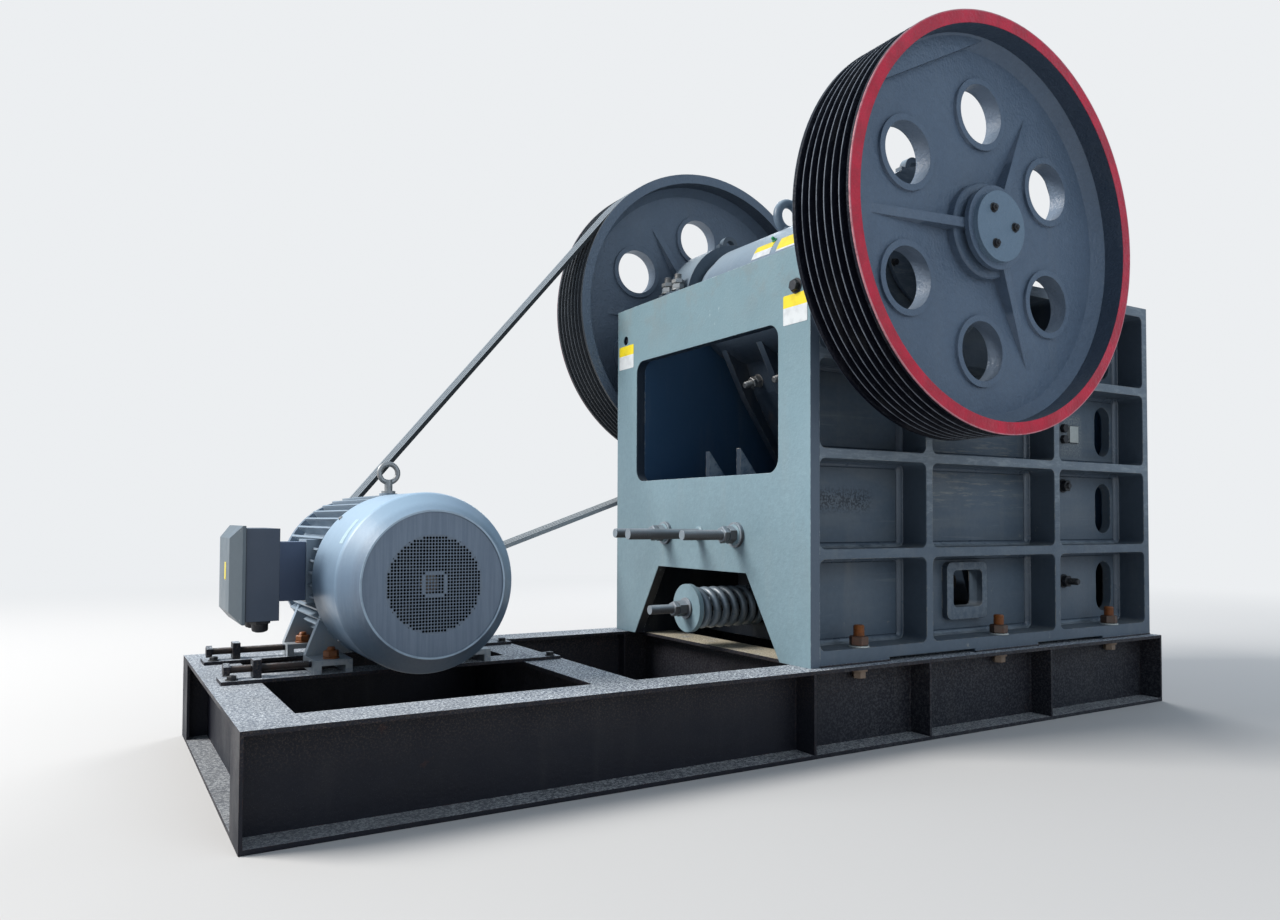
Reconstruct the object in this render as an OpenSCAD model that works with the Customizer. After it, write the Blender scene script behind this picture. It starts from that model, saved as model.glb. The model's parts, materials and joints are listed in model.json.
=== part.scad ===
// Single toggle jaw crusher on a steel skid with its electric motor and V-belt drive.
// Millimetres. X runs along the skid from the motor end to the feed end, Y across, Z up.
// The origin is the middle of the skid's underside.

/* [Skid] */
// Length of the skid
skid_l = 4100; // [3900:10:4600]
// Height of the skid beams
skid_h = 314; // [280:2:360]
// Width of each beam flange
beam_flange_w = 165; // [130:5:180]
// Distance of a side beam's web from the beam's outer edge
web_inset = 102; // [70:2:120]
// Thickness of the beam flanges
beam_flange_t = 14; // [10:1:20]
// Thickness of the beam webs and stiffeners
beam_web_t = 10; // [8:1:16]
// How far the skid reaches past each side of the body
skid_reach = 48; // [20:4:80]
// Middle of the motor cross beam from the motor end
motor_beam_x = 1184; // [1120:5:1260]
// Middle of the body cross beam from the rear wall
body_beam_x = 135; // [100:5:200]

/* [Body] */
// Gap between the body and the feed end of the skid
feed_end_gap = 15; // [0:5:60]
// Width of the body over its side ribs
body_w = 1440; // [1400:10:1500]
// Height of the body without the bearing seats
body_h = 1580; // [1560:5:1600]
// Depth of the side ribs
rib_depth = 145; // [100:5:180]
// Thickness of the side plates behind the ribs
side_t = 45; // [30:1:60]
// Width of the upright side ribs
rib_t = 36; // [28:1:48]
// Height of the level side ribs
level_t = 38; // [28:1:44]
// Corner radius of the side pockets
pocket_r = 28; // [15:1:40]
// Thickness of the rear wall
rear_t = 45; // [35:1:60]
// Height of the foot flange
foot_t = 60; // [45:1:70]
// Height of the foot pads under the flange
pad_h = 15; // [8:1:20]

/* [Rear wall openings] */
// Width of the inspection window
window_w = 1070; // [960:10:1120]
// Height of the inspection window
window_h = 578; // [500:2:620]
// Height of the window sill above the skid
window_z = 727; // [690:1:760]
// Corner radius of the window
window_r = 58; // [30:2:90]
// Height of the lower opening
vent_h = 329; // [280:1:345]
// Width of the lower opening at its top
vent_top_w = 664; // [560:2:740]
// Width of the lower opening at the skid
vent_bottom_w = 1086; // [980:2:1120]

/* [Crushing chamber] */
// Opening of the feed mouth, square to the swing jaw
gape = 600; // [560:5:640]
// Depth of the front wall box behind the fixed jaw plate
front_depth = 338; // [320:1:370]
// Thickness of the front wall plate at the jaw
front_t = 73; // [50:1:90]
// Thickness of the front wall plate at the feed end
feed_plate_t = 39; // [30:1:50]
// Thickness of the jaw plates to the tooth tips
plate_t = 80; // [70:1:90]
// Depth of the jaw plate teeth
tooth_d = 32; // [20:1:40]
// Number of teeth on a jaw plate
teeth = 13; // [9:1:15]
// Width of a jaw plate
jaw_w = 900; // [840:10:940]
// Thickness of the cheek plates
cheek_t = 48; // [30:1:50]
// Lean of the swing jaw from upright, in degrees
jaw_lean = 19.2; // [17:0.1:20]
// Height of the wear plates' lower ends above the skid
plate_foot = 130; // [100:5:160]
// Spacing of the lifting eyes on the swing jaw
lifting_eye_spacing = 310; // [260:10:360]

/* [Shaft and wheels] */
// Shaft centre from the rear wall
shaft_x = 620; // [600:5:650]
// Shaft centre above the skid
shaft_z = 1640; // [1620:1:1660]
// Radius of the shaft in its main bearings
shaft_r = 110; // [100:1:112]
// Throw of the eccentric
throw = 16; // [10:1:18]
// Direction of the eccentric at rest, in degrees from the feed end upward
throw_angle = -62; // [-90:1:-30]
// Diameter of both wheels
wheel_d = 1560; // [1480:10:1620]
// Width of a wheel rim
wheel_w = 288; // [270:1:330]
// Gap between body and wheels
wheel_gap = 87; // [80:1:110]
// Thickness of the rim
rim_t = 48; // [44:1:70]
// Number of belt grooves
grooves = 7; // [5:1:7]
// Pitch of the belt grooves
groove_pitch = 37; // [35:0.5:38]
// Depth of the belt grooves
groove_d = 24; // [22:0.5:28]
// Width of a belt groove at the rim
groove_w = 33; // [32:0.5:34]
// Recess of the web from the outer rim face
web_recess = 120; // [90:1:140]
// Thickness of the web
web_t = 45; // [30:1:60]
// Radius of the six round web holes
hole_r = 114; // [90:1:130]
// Distance of the web holes from the shaft
hole_ring = 454; // [430:1:470]
// Number of web holes
holes = 6; // [4:1:6]
// Number of web ribs
web_ribs = 3; // [2:1:3]
// Thickness of the web ribs
web_rib_t = 36; // [24:1:44]
// Width of the sloped band between web and rim
band_w = 40; // [25:1:50]
// Radius of the hub flange
hub_r = 157; // [150:1:180]
// Radius of the hub where it leaves the web
hub_foot_r = 182; // [160:1:200]
// Distance of the counterweight chord from the shaft
weight_d = 647; // [610:1:665]
// Direction of the counterweight, in degrees from the feed end upward
weight_angle = 118; // [90:1:150]
// Thickness of the counterweight
weight_t = 33; // [20:1:60]

/* [Motor and belts] */
// Motor axis from the motor end of the skid
motor_x = 650; // [610:5:700]
// Height of the motor axis above its feet
motor_h = 315; // [312:1:330]
// Fan cowl face from the middle of the machine, towards the near side
motor_face = 344; // [320:1:380]
// Radius of the fan cowl
cowl_r = 306; // [290:1:310]
// Length of the fan cowl
cowl_l = 424; // [380:1:440]
// Radius of the flat front of the cowl
cowl_face_r = 246; // [200:1:260]
// Radius of the grille in the cowl
grille_r = 165; // [120:1:180]
// Length of the finned frame
frame_l = 640; // [560:5:660]
// Radius of the frame under its fins
core_r = 262; // [250:1:270]
// Height of the cooling fins
fin_h = 44; // [30:1:46]
// Number of fins around the frame
fins = 44; // [30:2:52]
// Radius of the motor pulley
pulley_r = 175; // [160:1:200]
// Number of belts
belts = 4; // [3:1:4]
// Thickness of a belt
belt_t = 19; // [15:0.5:20]
// Thickness of the slide rails
rail_t = 12; // [8:1:20]
// Spacing of the motor feet across its axis
foot_spacing = 508; // [480:2:530]
// Spacing of the motor feet along its axis
foot_pitch = 485; // [450:5:510]
// Width and height of the terminal box
terminal_size = 310; // [280:5:340]
// Depth of the terminal box
terminal_d = 108; // [90:2:120]

/* [Toggle and tension gear] */
// Height of the adjusting rods above the skid
rod_z = 483; // [460:1:500]
// Radius of an adjusting rod
rod_r = 20; // [16:0.5:22]
// Spacing of the two adjusting rods
rod_spacing = 536; // [480:2:600]
// Reach of the adjusting rods out of the rear wall
rod_reach = 267; // [200:1:300]
// Reach of the middle jack screw out of the rear wall
jack_reach = 357; // [300:1:400]
// Height of the tension rod above the skid
tension_z = 165; // [150:1:180]
// Reach of the tension rod out of the rear wall
tension_reach = 250; // [200:1:300]
// Outer radius of the tension spring
spring_r = 90; // [80:1:96]
// Radius of the spring wire
wire_r = 16; // [12:1:18]
// Turns of the tension spring
spring_turns = 7; // [5:1:8]
// Length of the tension spring
spring_l = 366; // [340:1:380]
// Thickness of the toggle plate
toggle_t = 60; // [45:1:70]

/* [Hidden] */
$fn = 96;

// Clearances
seat = 0.2;
run_fit = 0.05;
swing_clear = 2*throw + 6;

// Places worked out from the sizes above
ecc_x = shaft_x + throw*cos(throw_angle);
ecc_z = shaft_z + throw*sin(throw_angle);
jaw_n = 345;
jaw_top = -190;
jaw_face_x = ecc_x + (jaw_n + plate_t)*cos(jaw_lean) - jaw_top*sin(jaw_lean);
body_l = round(jaw_face_x + gape/cos(jaw_lean) + plate_t + front_depth);
skid_w = body_w + 2*skid_reach;
skid_x = -skid_l/2;
web_y = skid_w/2 - web_inset - beam_web_t/2;
body_x = skid_x + skid_l - feed_end_gap - body_l;
wall_y = body_w/2;
plate_y = wall_y - rib_depth;
inner_y = plate_y - side_t;
cheek_y = inner_y - cheek_t;
wheel_y = wall_y + wheel_gap;
wheel_r = wheel_d/2;
rim_r = wheel_r - rim_t;

// Bearings: seat width, outer radius and housing radius
bearing_r = 185;
housing_r = 330;
saddle_half = 375;
saddle_shoulder = 30;
cap_bolt_t = 60;
cover_t = 34;
journal_r = shaft_r + throw + 4;

// Pockets of the side walls: upright rib places from the rear wall, level rib places above the skid
rib_1 = 0.2834*body_l;
rib_2 = 0.6639*body_l;
band_x = body_l - feed_plate_t;
level_1 = 0.2519*body_h;
level_2 = 0.4911*body_h;
level_3 = 0.7278*body_h;
level_top = body_h - 45;
columns = [[rear_t, rib_1], [rib_1 + rib_t, rib_2], [rib_2 + rib_t, band_x]];
rows = [
    [foot_t, level_1], [level_1 + level_t, level_2],
    [level_2 + level_t, level_3], [level_3 + level_t, level_top]
];
slot_x = band_x - 103;
slot_w = 122;
slot_h = 240;
pads = [[0, 0.1865*body_l], [0.4163*body_l, 0.6061*body_l], [0.8242*body_l, body_l]];
fixed_back_x = body_l - front_depth;

// Swing jaw: n runs square to the jaw plate, u runs up along it, both from the eccentric
jaw_bottom = -1690;
barrel_r = 306;
collar_r = 285;
barrel_half = 440;
collar_half = inner_y - 10;
slab_t = 90;
jaw_rib_t = 40;
pitman_half = 440;
seat_n = 60;
seat_u = -1480;
seat_h = 150;

// Toggle
block_z = vent_h + 25;
block_h = 170;
block_l = 430;
block_w = jaw_w - 40;
toggle_w = jaw_w - 60;
toggle_z1 = block_z + block_h/2;

// Belt geometry
belt_w = groove_w - 3;
flank = (groove_w - 17)/2/groove_d;
pulley_y = wheel_y + (wheel_w - grooves*groove_pitch)/2;
pulley_edge = 24;
motor_axis_x = skid_x + motor_x;
motor_axis_z = skid_h + rail_t + motor_h;
shaft_row_x = body_x + shaft_x;
shaft_row_z = skid_h + shaft_z;
belt_dx = motor_axis_x - shaft_row_x;
belt_dz = motor_axis_z - shaft_row_z;
belt_len = norm([belt_dx, belt_dz]);
belt_dir = atan2(belt_dz, belt_dx);
belt_open = acos((wheel_r - pulley_r)/belt_len);
belt_run = sqrt(pow(belt_len, 2) - pow(wheel_r - pulley_r, 2));

// Motor stations along Y, from the cowl face
cowl_end = -motor_face + cowl_l;
frame_y0 = cowl_end - 20;
frame_y1 = frame_y0 + frame_l;
shield_t = 36;
near_foot_y = 15;
cowl_skin = 5;
cowl_recess = 5;
motor_shaft_r = 40;
fan_shaft_r = 32;
eye_y = 220;
box_y = 145;
box_z = motor_axis_z + 26;
box_neck = 210;
box_neck_l = 120;
box_neck_y = cowl_end + 90;
box_face_x = motor_axis_x - 429 - terminal_d;
pulley_end = pulley_y + (belts - 1)*groove_pitch + groove_pitch/2 + pulley_edge + 4;

// Paint colours
paint = [0.34, 0.39, 0.42];
dark = [0.10, 0.10, 0.12];
red = [0.75, 0.12, 0.16];
steel = [0.45, 0.44, 0.43];
light = [0.52, 0.57, 0.60];

// Extrudes a shape drawn in X and Z from y0 to y1
module across(y0, y1) {
    translate([0, y1, 0]) rotate([90, 0, 0]) linear_extrude(y1 - y0) children();
}

// Turns children drawn about Z so that Z points along Y, at a place in X and Z
module about_y(x, z) {
    translate([x, 0, z]) rotate([-90, 0, 0]) children();
}

// Round bar along Y
module bar_y(x, z, r, y0, y1) {
    translate([x, y0, z]) rotate([-90, 0, 0]) cylinder(r = r, h = y1 - y0);
}

// Round bar along X
module bar_x(x0, x1, y, z, r) {
    translate([x0, y, z]) rotate([0, 90, 0]) cylinder(r = r, h = x1 - x0);
}

// Six-sided nut along X
module nut_x(x0, x1, y, z, r) {
    translate([x0, y, z]) rotate([0, 90, 0]) cylinder(r = r, h = x1 - x0, $fn = 6);
}

// Rectangle with round corners, its lower left corner at the origin
module soft_rect(w, h, r) {
    translate([r, 0]) square([w - 2*r, h]);
    translate([0, r]) square([w, h - 2*r]);
    for (x = [r, w - r], y = [r, h - r]) translate([x, y]) circle(r);
}

// Upper and lower flange of a beam, side by side with the origin at their middle
module beam_flanges() {
    for (z = [0, skid_h - beam_flange_t])
        translate([-beam_flange_w/2, z]) square([beam_flange_w, beam_flange_t]);
}

// Two side beams with their webs set in, and stiffeners between the flanges
module skid_side_beams() {
    mid = skid_w/2 - beam_flange_w/2;
    marks = [skid_x + beam_web_t, body_x - 15, body_x + 0.27*body_l, body_x + 0.62*body_l, skid_x + skid_l];
    color(dark) for (s = [-1, 1]) {
        translate([skid_x, s*mid, 0]) rotate([90, 0, 90]) linear_extrude(skid_l) beam_flanges();
        translate([skid_x, s*web_y - beam_web_t/2, 0]) cube([skid_l, beam_web_t, skid_h]);
        for (m = marks)
            translate([m - beam_web_t, s*mid - beam_flange_w/2, 0])
                cube([beam_web_t, beam_flange_w, skid_h]);
    }
}

// Two beams between the side beams, their middles given from the motor end
module cross_beams(first, second) {
    half = skid_w/2 - beam_flange_w;
    web_half = web_y - beam_web_t/2;
    color(dark) for (x = [first, second]) translate([skid_x + x, 0, 0]) {
        translate([0, half, 0]) rotate([90, 0, 0]) linear_extrude(2*half) beam_flanges();
        translate([-beam_web_t/2, -half, 0]) cube([beam_web_t, 2*half, skid_h]);
        translate([-beam_web_t/2, -web_half, beam_flange_t])
            cube([beam_web_t, 2*web_half, skid_h - 2*beam_flange_t]);
    }
}

// Outline of a side wall in body X and Z, with the raised bearing seat and the foot pads
module side_outline() {
    difference() {
        polygon([
            [rear_t, 0], [body_l, 0], [body_l, body_h],
            [shaft_x + saddle_half + saddle_shoulder, body_h], [shaft_x + saddle_half, shaft_z],
            [shaft_x - saddle_half, shaft_z], [shaft_x - saddle_half - saddle_shoulder, body_h],
            [rear_t, body_h]
        ]);
        for (k = [0:len(pads) - 2])
            translate([pads[k][1], -1]) square([pads[k + 1][0] - pads[k][1], pad_h + 1]);
    }
}

// Side pockets between the ribs, kept clear of the bearing seat
module side_pockets() {
    difference() {
        for (c = columns, r = rows)
            translate([c[0], r[0]]) soft_rect(c[1] - c[0], r[1] - r[0], pocket_r);
        translate([shaft_x, shaft_z]) circle(saddle_half + 20);
    }
}

// Near side wall; the far one is its mirror
module side_wall() {
    boss = [861, 122, 254, 245];
    window = [900, 175, 183, 157];
    color(paint) translate([body_x, 0, skid_h]) difference() {
        union() {
            difference() {
                across(-wall_y, -inner_y) side_outline();
                across(-wall_y - 1, -plate_y) side_pockets();
            }
            across(-plate_y - 28, -plate_y + 1)
                translate([boss[0], boss[1]]) soft_rect(boss[2], boss[3], 30);
        }
        across(-wall_y - 1, -inner_y + 1)
            translate([window[0], window[1]]) soft_rect(window[2], window[3], 22);
        bar_y(shaft_x, shaft_z, bearing_r, -wall_y - 1, -inner_y + 1);
        for (r = rows) {
            mid = (r[0] + r[1])/2;
            across(-wall_y - 1, -inner_y + 1)
                translate([slot_x - slot_w/2, mid - slot_h/2]) soft_rect(slot_w, slot_h, slot_w/2 - 0.5);
        }
    }
}

// Rear wall with the inspection window and the opening round the tension rod
module rear_wall() {
    color(light) translate([body_x, 0, skid_h]) rotate([90, 0, 90]) linear_extrude(rear_t) difference() {
        translate([-wall_y, 0]) square([body_w, body_h]);
        translate([-window_w/2, window_z]) soft_rect(window_w, window_h, window_r);
        polygon([
            [-vent_bottom_w/2, -1], [vent_bottom_w/2, -1],
            [vent_top_w/2, vent_h], [-vent_top_w/2, vent_h]
        ]);
        for (s = [-1, 1]) {
            translate([s*rod_spacing/2, rod_z]) circle(rod_r + 0.3);
            translate([s*(wall_y - 78), body_h - 153]) circle(22);
        }
        translate([0, rod_z]) circle(22.3);
    }
}

// Front wall: a hollow box of two plates and level ribs, its hollows reached by the side slots
module front_wall() {
    color(paint) translate([body_x, 0, skid_h]) across(-inner_y, inner_y) difference() {
        translate([fixed_back_x, pad_h]) square([front_depth, body_h - pad_h]);
        for (r = rows)
            translate([fixed_back_x + front_t, r[0]])
                soft_rect(band_x - fixed_back_x - front_t, r[1] - r[0], pocket_r);
    }
}

// Saw-tooth outline of a jaw plate: across its width and out from its back
module tooth_outline(count, depth, full, phase) {
    pitch = jaw_w/teeth;
    points = [for (k = [0:2*count]) [(k - count)*pitch/2, (k + phase) % 2 == 0 ? full - depth : full]];
    polygon(concat([[-count*pitch/2, 0]], points, [[count*pitch/2, 0]]));
}

// Fixed jaw plate against the front wall
module fixed_jaw_plate() {
    crown = 50;
    color(steel) translate([body_x + fixed_back_x, 0, skid_h + plate_foot])
        rotate([0, 0, 90]) linear_extrude(body_h - plate_foot - crown)
            tooth_outline(teeth, tooth_d, plate_t, 0);
}

// Places children drawn in n and u against the swing jaw at rest
module in_jaw() {
    translate([body_x + ecc_x, 0, skid_h + ecc_z]) rotate([0, -jaw_lean, 0]) children();
}

// Wear plates on the inside of both walls, beside the chamber
module cheek_plates() {
    rear = jaw_n - 12;
    front = fixed_back_x - plate_t - 6;
    foot = plate_foot + 30;
    crown = body_h - plate_foot;
    color(steel) translate([body_x, 0, skid_h]) for (s = [0, 1]) mirror([0, s, 0])
        across(-inner_y, -cheek_y) polygon([
            [jaw_x(rear, foot), foot], [front, foot], [front, crown], [jaw_x(rear, crown), crown]
        ]);
}

// Body X of a line that lies n in front of the eccentric, at body height z
function jaw_x(n, z) = ecc_x + (n - (z - ecc_z)*sin(jaw_lean))/cos(jaw_lean);

// Upper half of a main bearing housing with its flange and lifting lug
module bearing_cap(side) {
    y0 = inner_y + 5;
    y1 = wall_y + 12;
    lug_t = 34;
    mid = (y0 + y1)/2;
    color(paint) translate([body_x, 0, skid_h]) mirror([0, side > 0 ? 0 : 1, 0]) difference() {
        union() {
            across(y0, y1) intersection() {
                translate([shaft_x, shaft_z]) circle(housing_r);
                translate([shaft_x - housing_r, shaft_z + seat]) square([2*housing_r, housing_r]);
            }
            across(y0, y1) translate([shaft_x - saddle_half, shaft_z + seat])
                square([2*saddle_half, cap_bolt_t]);
            across(mid - lug_t/2, mid + lug_t/2) translate([shaft_x, shaft_z]) difference() {
                union() {
                    translate([-70, housing_r - 40]) square([140, 60]);
                    translate([0, housing_r + 22]) circle(48);
                }
                translate([0, housing_r + 24]) circle(24);
            }
        }
        bar_y(shaft_x, shaft_z, bearing_r, y0 - 1, y1 + 1);
    }
}

// Round cover outside a main bearing
module bearing_cover(side) {
    color(paint) about_y(body_x + shaft_x, skid_h + shaft_z) mirror([0, 0, side > 0 ? 0 : 1])
        rotate_extrude() polygon([
            [shaft_r + 2, wall_y + 12], [250, wall_y + 12], [250, wall_y + 28],
            [170, wall_y + 12 + cover_t], [shaft_r + 2, wall_y + 12 + cover_t]
        ]);
}

// Main bearing, a plain ring between the shaft and its housing
module main_bearing(side) {
    color(steel) about_y(body_x + shaft_x, skid_h + shaft_z) mirror([0, 0, side > 0 ? 0 : 1])
        rotate_extrude() translate([shaft_r + run_fit, inner_y + 20])
            square([bearing_r - shaft_r - run_fit - seat, rib_depth + side_t - 30]);
}

// Shelf under the toggle block and the beam over it, with two gussets up to the window
module toggle_guides() {
    beam_z = block_z + block_h + 16;
    beam_l = 255;
    beam_top = window_z + 4;
    color(paint) translate([body_x + rear_t, 0, skid_h]) {
        translate([0, -inner_y, vent_h]) cube([block_l + 90, 2*inner_y, block_z - vent_h]);
        translate([0, -inner_y, beam_z]) cube([beam_l, 2*inner_y, beam_top - beam_z]);
        for (s = [-1, 1])
            across(s*115 - 14, s*115 + 14)
                polygon([[80, beam_top - 1], [177, beam_top - 1], [80, beam_top + 122]]);
    }
}

// Adjusting block with a round seat for the toggle plate, on its shelf behind the rear wall
module toggle_block() {
    color(steel) translate([body_x, 0, skid_h]) difference() {
        translate([rear_t, -block_w/2, block_z]) cube([block_l, block_w, block_h]);
        bar_y(rear_t + block_l + 18, toggle_z1, toggle_t/2 + 8, -block_w/2 - 1, block_w/2 + 1);
    }
}

// Toggle plate between the block and the swing jaw, with rounded ends
module toggle_plate() {
    x1 = rear_t + block_l + 18;
    end_r = toggle_t/2 + 8 - seat;
    x2 = jaw_seat_x() - swing_clear - end_r;
    z2 = jaw_seat_z() + 20;
    len = norm([x2 - x1, z2 - toggle_z1]);
    color(steel) translate([body_x + x1, 0, skid_h + toggle_z1])
        rotate([0, atan2(toggle_z1 - z2, x2 - x1), 0]) {
            translate([0, -toggle_w/2, -toggle_t/2]) cube([len, toggle_w, toggle_t]);
            for (d = [0, len]) bar_y(d, 0, end_r, -toggle_w/2, toggle_w/2);
        }
}

// Seat of the toggle plate on the swing jaw, in body X and Z
function jaw_seat_x() = ecc_x + seat_n*cos(jaw_lean) - seat_u*sin(jaw_lean);
function jaw_seat_z() = ecc_z + seat_n*sin(jaw_lean) + seat_u*cos(jaw_lean);

// Two threaded rods that clamp the toggle block, with their washers and nuts
module adjusting_rods() {
    color(steel) translate([body_x, 0, skid_h]) for (s = [-1, 1]) {
        y = s*rod_spacing/2;
        bar_x(-rod_reach, rear_t, y, rod_z, rod_r);
        bar_x(-14, 0, y, rod_z, 2.6*rod_r);
        nut_x(-50, -14, y, rod_z, 1.8*rod_r);
    }
}

// Plain screw between the adjusting rods
module jack_screw() {
    color(steel) translate([body_x, 0, skid_h]) bar_x(-jack_reach, rear_t, 0, rod_z, 22);
}

// Rod that draws the swing jaw against the toggle plate
module tension_rod() {
    color(steel) translate([body_x, 0, skid_h]) {
        bar_x(-tension_reach, jaw_seat_x() - 2*swing_clear, 0, tension_z, 19);
        nut_x(-112, -66, 0, tension_z, 34);
    }
}

// Round plate under the nut of the tension rod
module spring_plate() {
    color(light) translate([body_x, 0, skid_h]) difference() {
        bar_x(-66, -44, 0, tension_z, 103);
        bar_x(-67, -43, 0, tension_z, 19.3);
    }
}

// Points of one ring of the spring wire, square to the coil at turn angle a
function wire_ring(a, pitch, sides) = [
    for (k = [0:sides - 1])
        let (r = spring_r - wire_r + wire_r*cos(360*k/sides))
        [wire_r + pitch*a/360 + wire_r*sin(360*k/sides), r*cos(a), r*sin(a)]
];

// Coil spring round the tension rod
module tension_spring() {
    sides = 8;
    steps = 12*spring_turns;
    pitch = (spring_l - 2*wire_r)/spring_turns;
    rings = [for (i = [0:steps]) wire_ring(360*spring_turns*i/steps, pitch, sides)];
    points = [for (r = rings, p = r) p];
    walls = [
        for (i = [0:steps - 1], k = [0:sides - 1])
            let (n = (k + 1) % sides)
            [i*sides + k, i*sides + n, (i + 1)*sides + n, (i + 1)*sides + k]
    ];
    first = [for (k = [sides - 1:-1:0]) k];
    last = [for (k = [0:sides - 1]) steps*sides + k];
    color(dark) translate([body_x - 44, 0, skid_h + tension_z])
        polyhedron(concat(points), concat(walls, [first, last]));
}

// Bracket that the far end of the spring bears on
module spring_bracket() {
    x = spring_l - 44;
    color(paint) translate([body_x + x, 0, skid_h]) difference() {
        union() {
            translate([0, -150, pad_h]) cube([40, 300, vent_h - pad_h]);
            translate([0, -inner_y, pad_h]) cube([40, 2*inner_y, 60]);
        }
        bar_x(-1, 41, 0, tension_z, 40);
    }
}

// Shaft with its eccentric middle
module eccentric_shaft() {
    reach = wheel_y + wheel_w - 60;
    color(steel) {
        bar_y(body_x + shaft_x, skid_h + shaft_z, shaft_r, -reach, reach);
        bar_y(body_x + ecc_x, skid_h + ecc_z, journal_r, -collar_half + 6, collar_half - 6);
    }
}

// Outline of a grooved rim: radius and place along the shaft from its inner face
function rim_outline(r, inner, width, count, first) = concat(
    [[inner, 0], [r, 0]],
    [for (k = [0:count - 1]) each groove_points(r, first + groove_pitch*(k + 0.5))],
    [[r, width], [inner, width]]
);
function groove_points(r, mid) = [
    [r, mid - groove_w/2], [r - groove_d, mid - groove_w/2 + flank*groove_d],
    [r - groove_d, mid + groove_w/2 - flank*groove_d], [r, mid + groove_w/2]
];

// Flywheel with belt grooves, six holes, tapered ribs and a counterweight, on the far side
module flywheel_form() {
    web_z = wheel_w - web_recess;
    back_z = web_z - web_t;
    ring_w = 24;
    ring_h = 12;
    hub_z = wheel_w - 40;
    flange_z = hub_z - 20;
    neck_r = 132;
    rib_tip = rim_r - band_w - 117;
    difference() {
        union() {
            rotate_extrude() polygon(rim_outline(wheel_r, rim_r, wheel_w, grooves,
                (wheel_w - grooves*groove_pitch)/2));
            translate([0, 0, back_z]) cylinder(r = rim_r + 1, h = web_t);
            for (face = [[web_z, 1], [back_z, -1]]) rotate_extrude() polygon([
                [rim_r + 1, face[0] + face[1]*(band_w + 1)], [rim_r + 1, face[0] - face[1]],
                [rim_r - band_w - 1, face[0] - face[1]]
            ]);
            rotate_extrude() polygon([
                [0, 22], [neck_r, 22], [neck_r + 15, back_z], [neck_r + 15, web_z - 1],
                [hub_foot_r, web_z - 1], [hub_foot_r, web_z + 30], [hub_foot_r - 6, web_z + 36],
                [neck_r, web_z + 40], [neck_r, flange_z], [hub_r, flange_z], [hub_r, hub_z], [0, hub_z]
            ]);
            for (k = [0:holes - 1])
                rotate([0, 0, -(90 + 360*k/holes)]) translate([hole_ring, 0, back_z - ring_h])
                    cylinder(r = hole_r + ring_w, h = web_t + 2*ring_h);
            for (k = [0:web_ribs - 1], face = [[web_z - 1, flange_z], [back_z + 1, 50]])
                rotate([0, 0, -(60 + 360*k/web_ribs)]) rotate([90, 0, 0])
                    linear_extrude(web_rib_t, center = true) polygon([
                        [neck_r - 2, face[0]], [rib_tip, face[0]],
                        [neck_r + 18, face[1]], [neck_r - 2, face[1]]
                    ]);
            translate([0, 0, web_z - 1]) linear_extrude(weight_t + 1) intersection() {
                circle(rim_r + 1);
                rotate(-weight_angle) translate([weight_d, -wheel_r]) square([wheel_r, wheel_d]);
            }
        }
        for (k = [0:holes - 1])
            rotate([0, 0, -(90 + 360*k/holes)]) translate([hole_ring, 0, 0])
                cylinder(r = hole_r, h = wheel_w);
        translate([0, 0, -1]) cylinder(r = shaft_r, h = wheel_w + 2);
    }
}

// Places a wheel part on the shaft on the near (-1) or far (1) side
module on_shaft(side) {
    about_y(body_x + shaft_x, skid_h + shaft_z) mirror([0, 0, side > 0 ? 0 : 1])
        translate([0, 0, wheel_y]) children();
}

// End cap over the hub and shaft end
module hub_cap() {
    color(paint) translate([0, 0, wheel_w - 40]) cylinder(r = hub_r - 25, h = 20);
}

// Swing jaw casting: barrel, front slab, back ribs and back plate, a toggle seat and two ears
// beside the tension rod, bored for the eccentric
module swing_jaw() {
    rib_step = (2*pitman_half - jaw_rib_t)/3;
    ear = 30;
    color(paint) in_jaw() difference() {
        union() {
            bar_y(0, 0, barrel_r, -barrel_half, barrel_half);
            bar_y(0, 0, collar_r, -collar_half, collar_half);
            translate([jaw_n - slab_t, -pitman_half, jaw_bottom])
                cube([slab_t, 2*pitman_half, -jaw_bottom - 40]);
            for (k = [0:3])
                across(k*rib_step - pitman_half, k*rib_step - pitman_half + jaw_rib_t)
                    polygon([
                        [jaw_n - 1, -40], [jaw_n - 1, jaw_bottom], [jaw_n - 150, jaw_bottom],
                        [seat_n + 40, seat_u - seat_h/2 - 60], [seat_n + 40, seat_u + seat_h/2 + 60],
                        [-40, -1080], [-220, -420], [-collar_r + 10, -60]
                    ]);
            translate([seat_n, -pitman_half, seat_u - seat_h/2]) cube([slab_t, 2*pitman_half, seat_h]);
            across(-pitman_half + 1, pitman_half - 1) polygon([
                [-161, -240], [-160, -420], [-60, -900], [10, -1080], [seat_n + 65, seat_u + 70],
                [seat_n + 85, seat_u + 60], [50, -1080], [-20, -900], [-120, -420], [-121, -240]
            ]);
            for (s = [-1, 1]) across(s*(ear + 12) - 12, s*(ear + 12) + 12) polygon([
                [seat_n - 150, seat_u - 62], [seat_n - 135, seat_u - 19], [seat_n, seat_u - 61],
                [seat_n + 10, seat_u - 20], [seat_n + 88, seat_u - 20], [seat_n + 88, seat_u - 120],
                [seat_n + 50, seat_u - 132]
            ]);
        }
        bar_y(0, 0, journal_r + run_fit, -collar_half - 1, collar_half + 1);
    }
}

// Toothed plate on the swing jaw
module swing_jaw_plate() {
    color(steel) in_jaw() translate([jaw_n, 0, jaw_bottom + 20]) rotate([0, 0, -90])
        linear_extrude(jaw_top - jaw_bottom - 20) tooth_outline(teeth, tooth_d, plate_t, 1);
}

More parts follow.
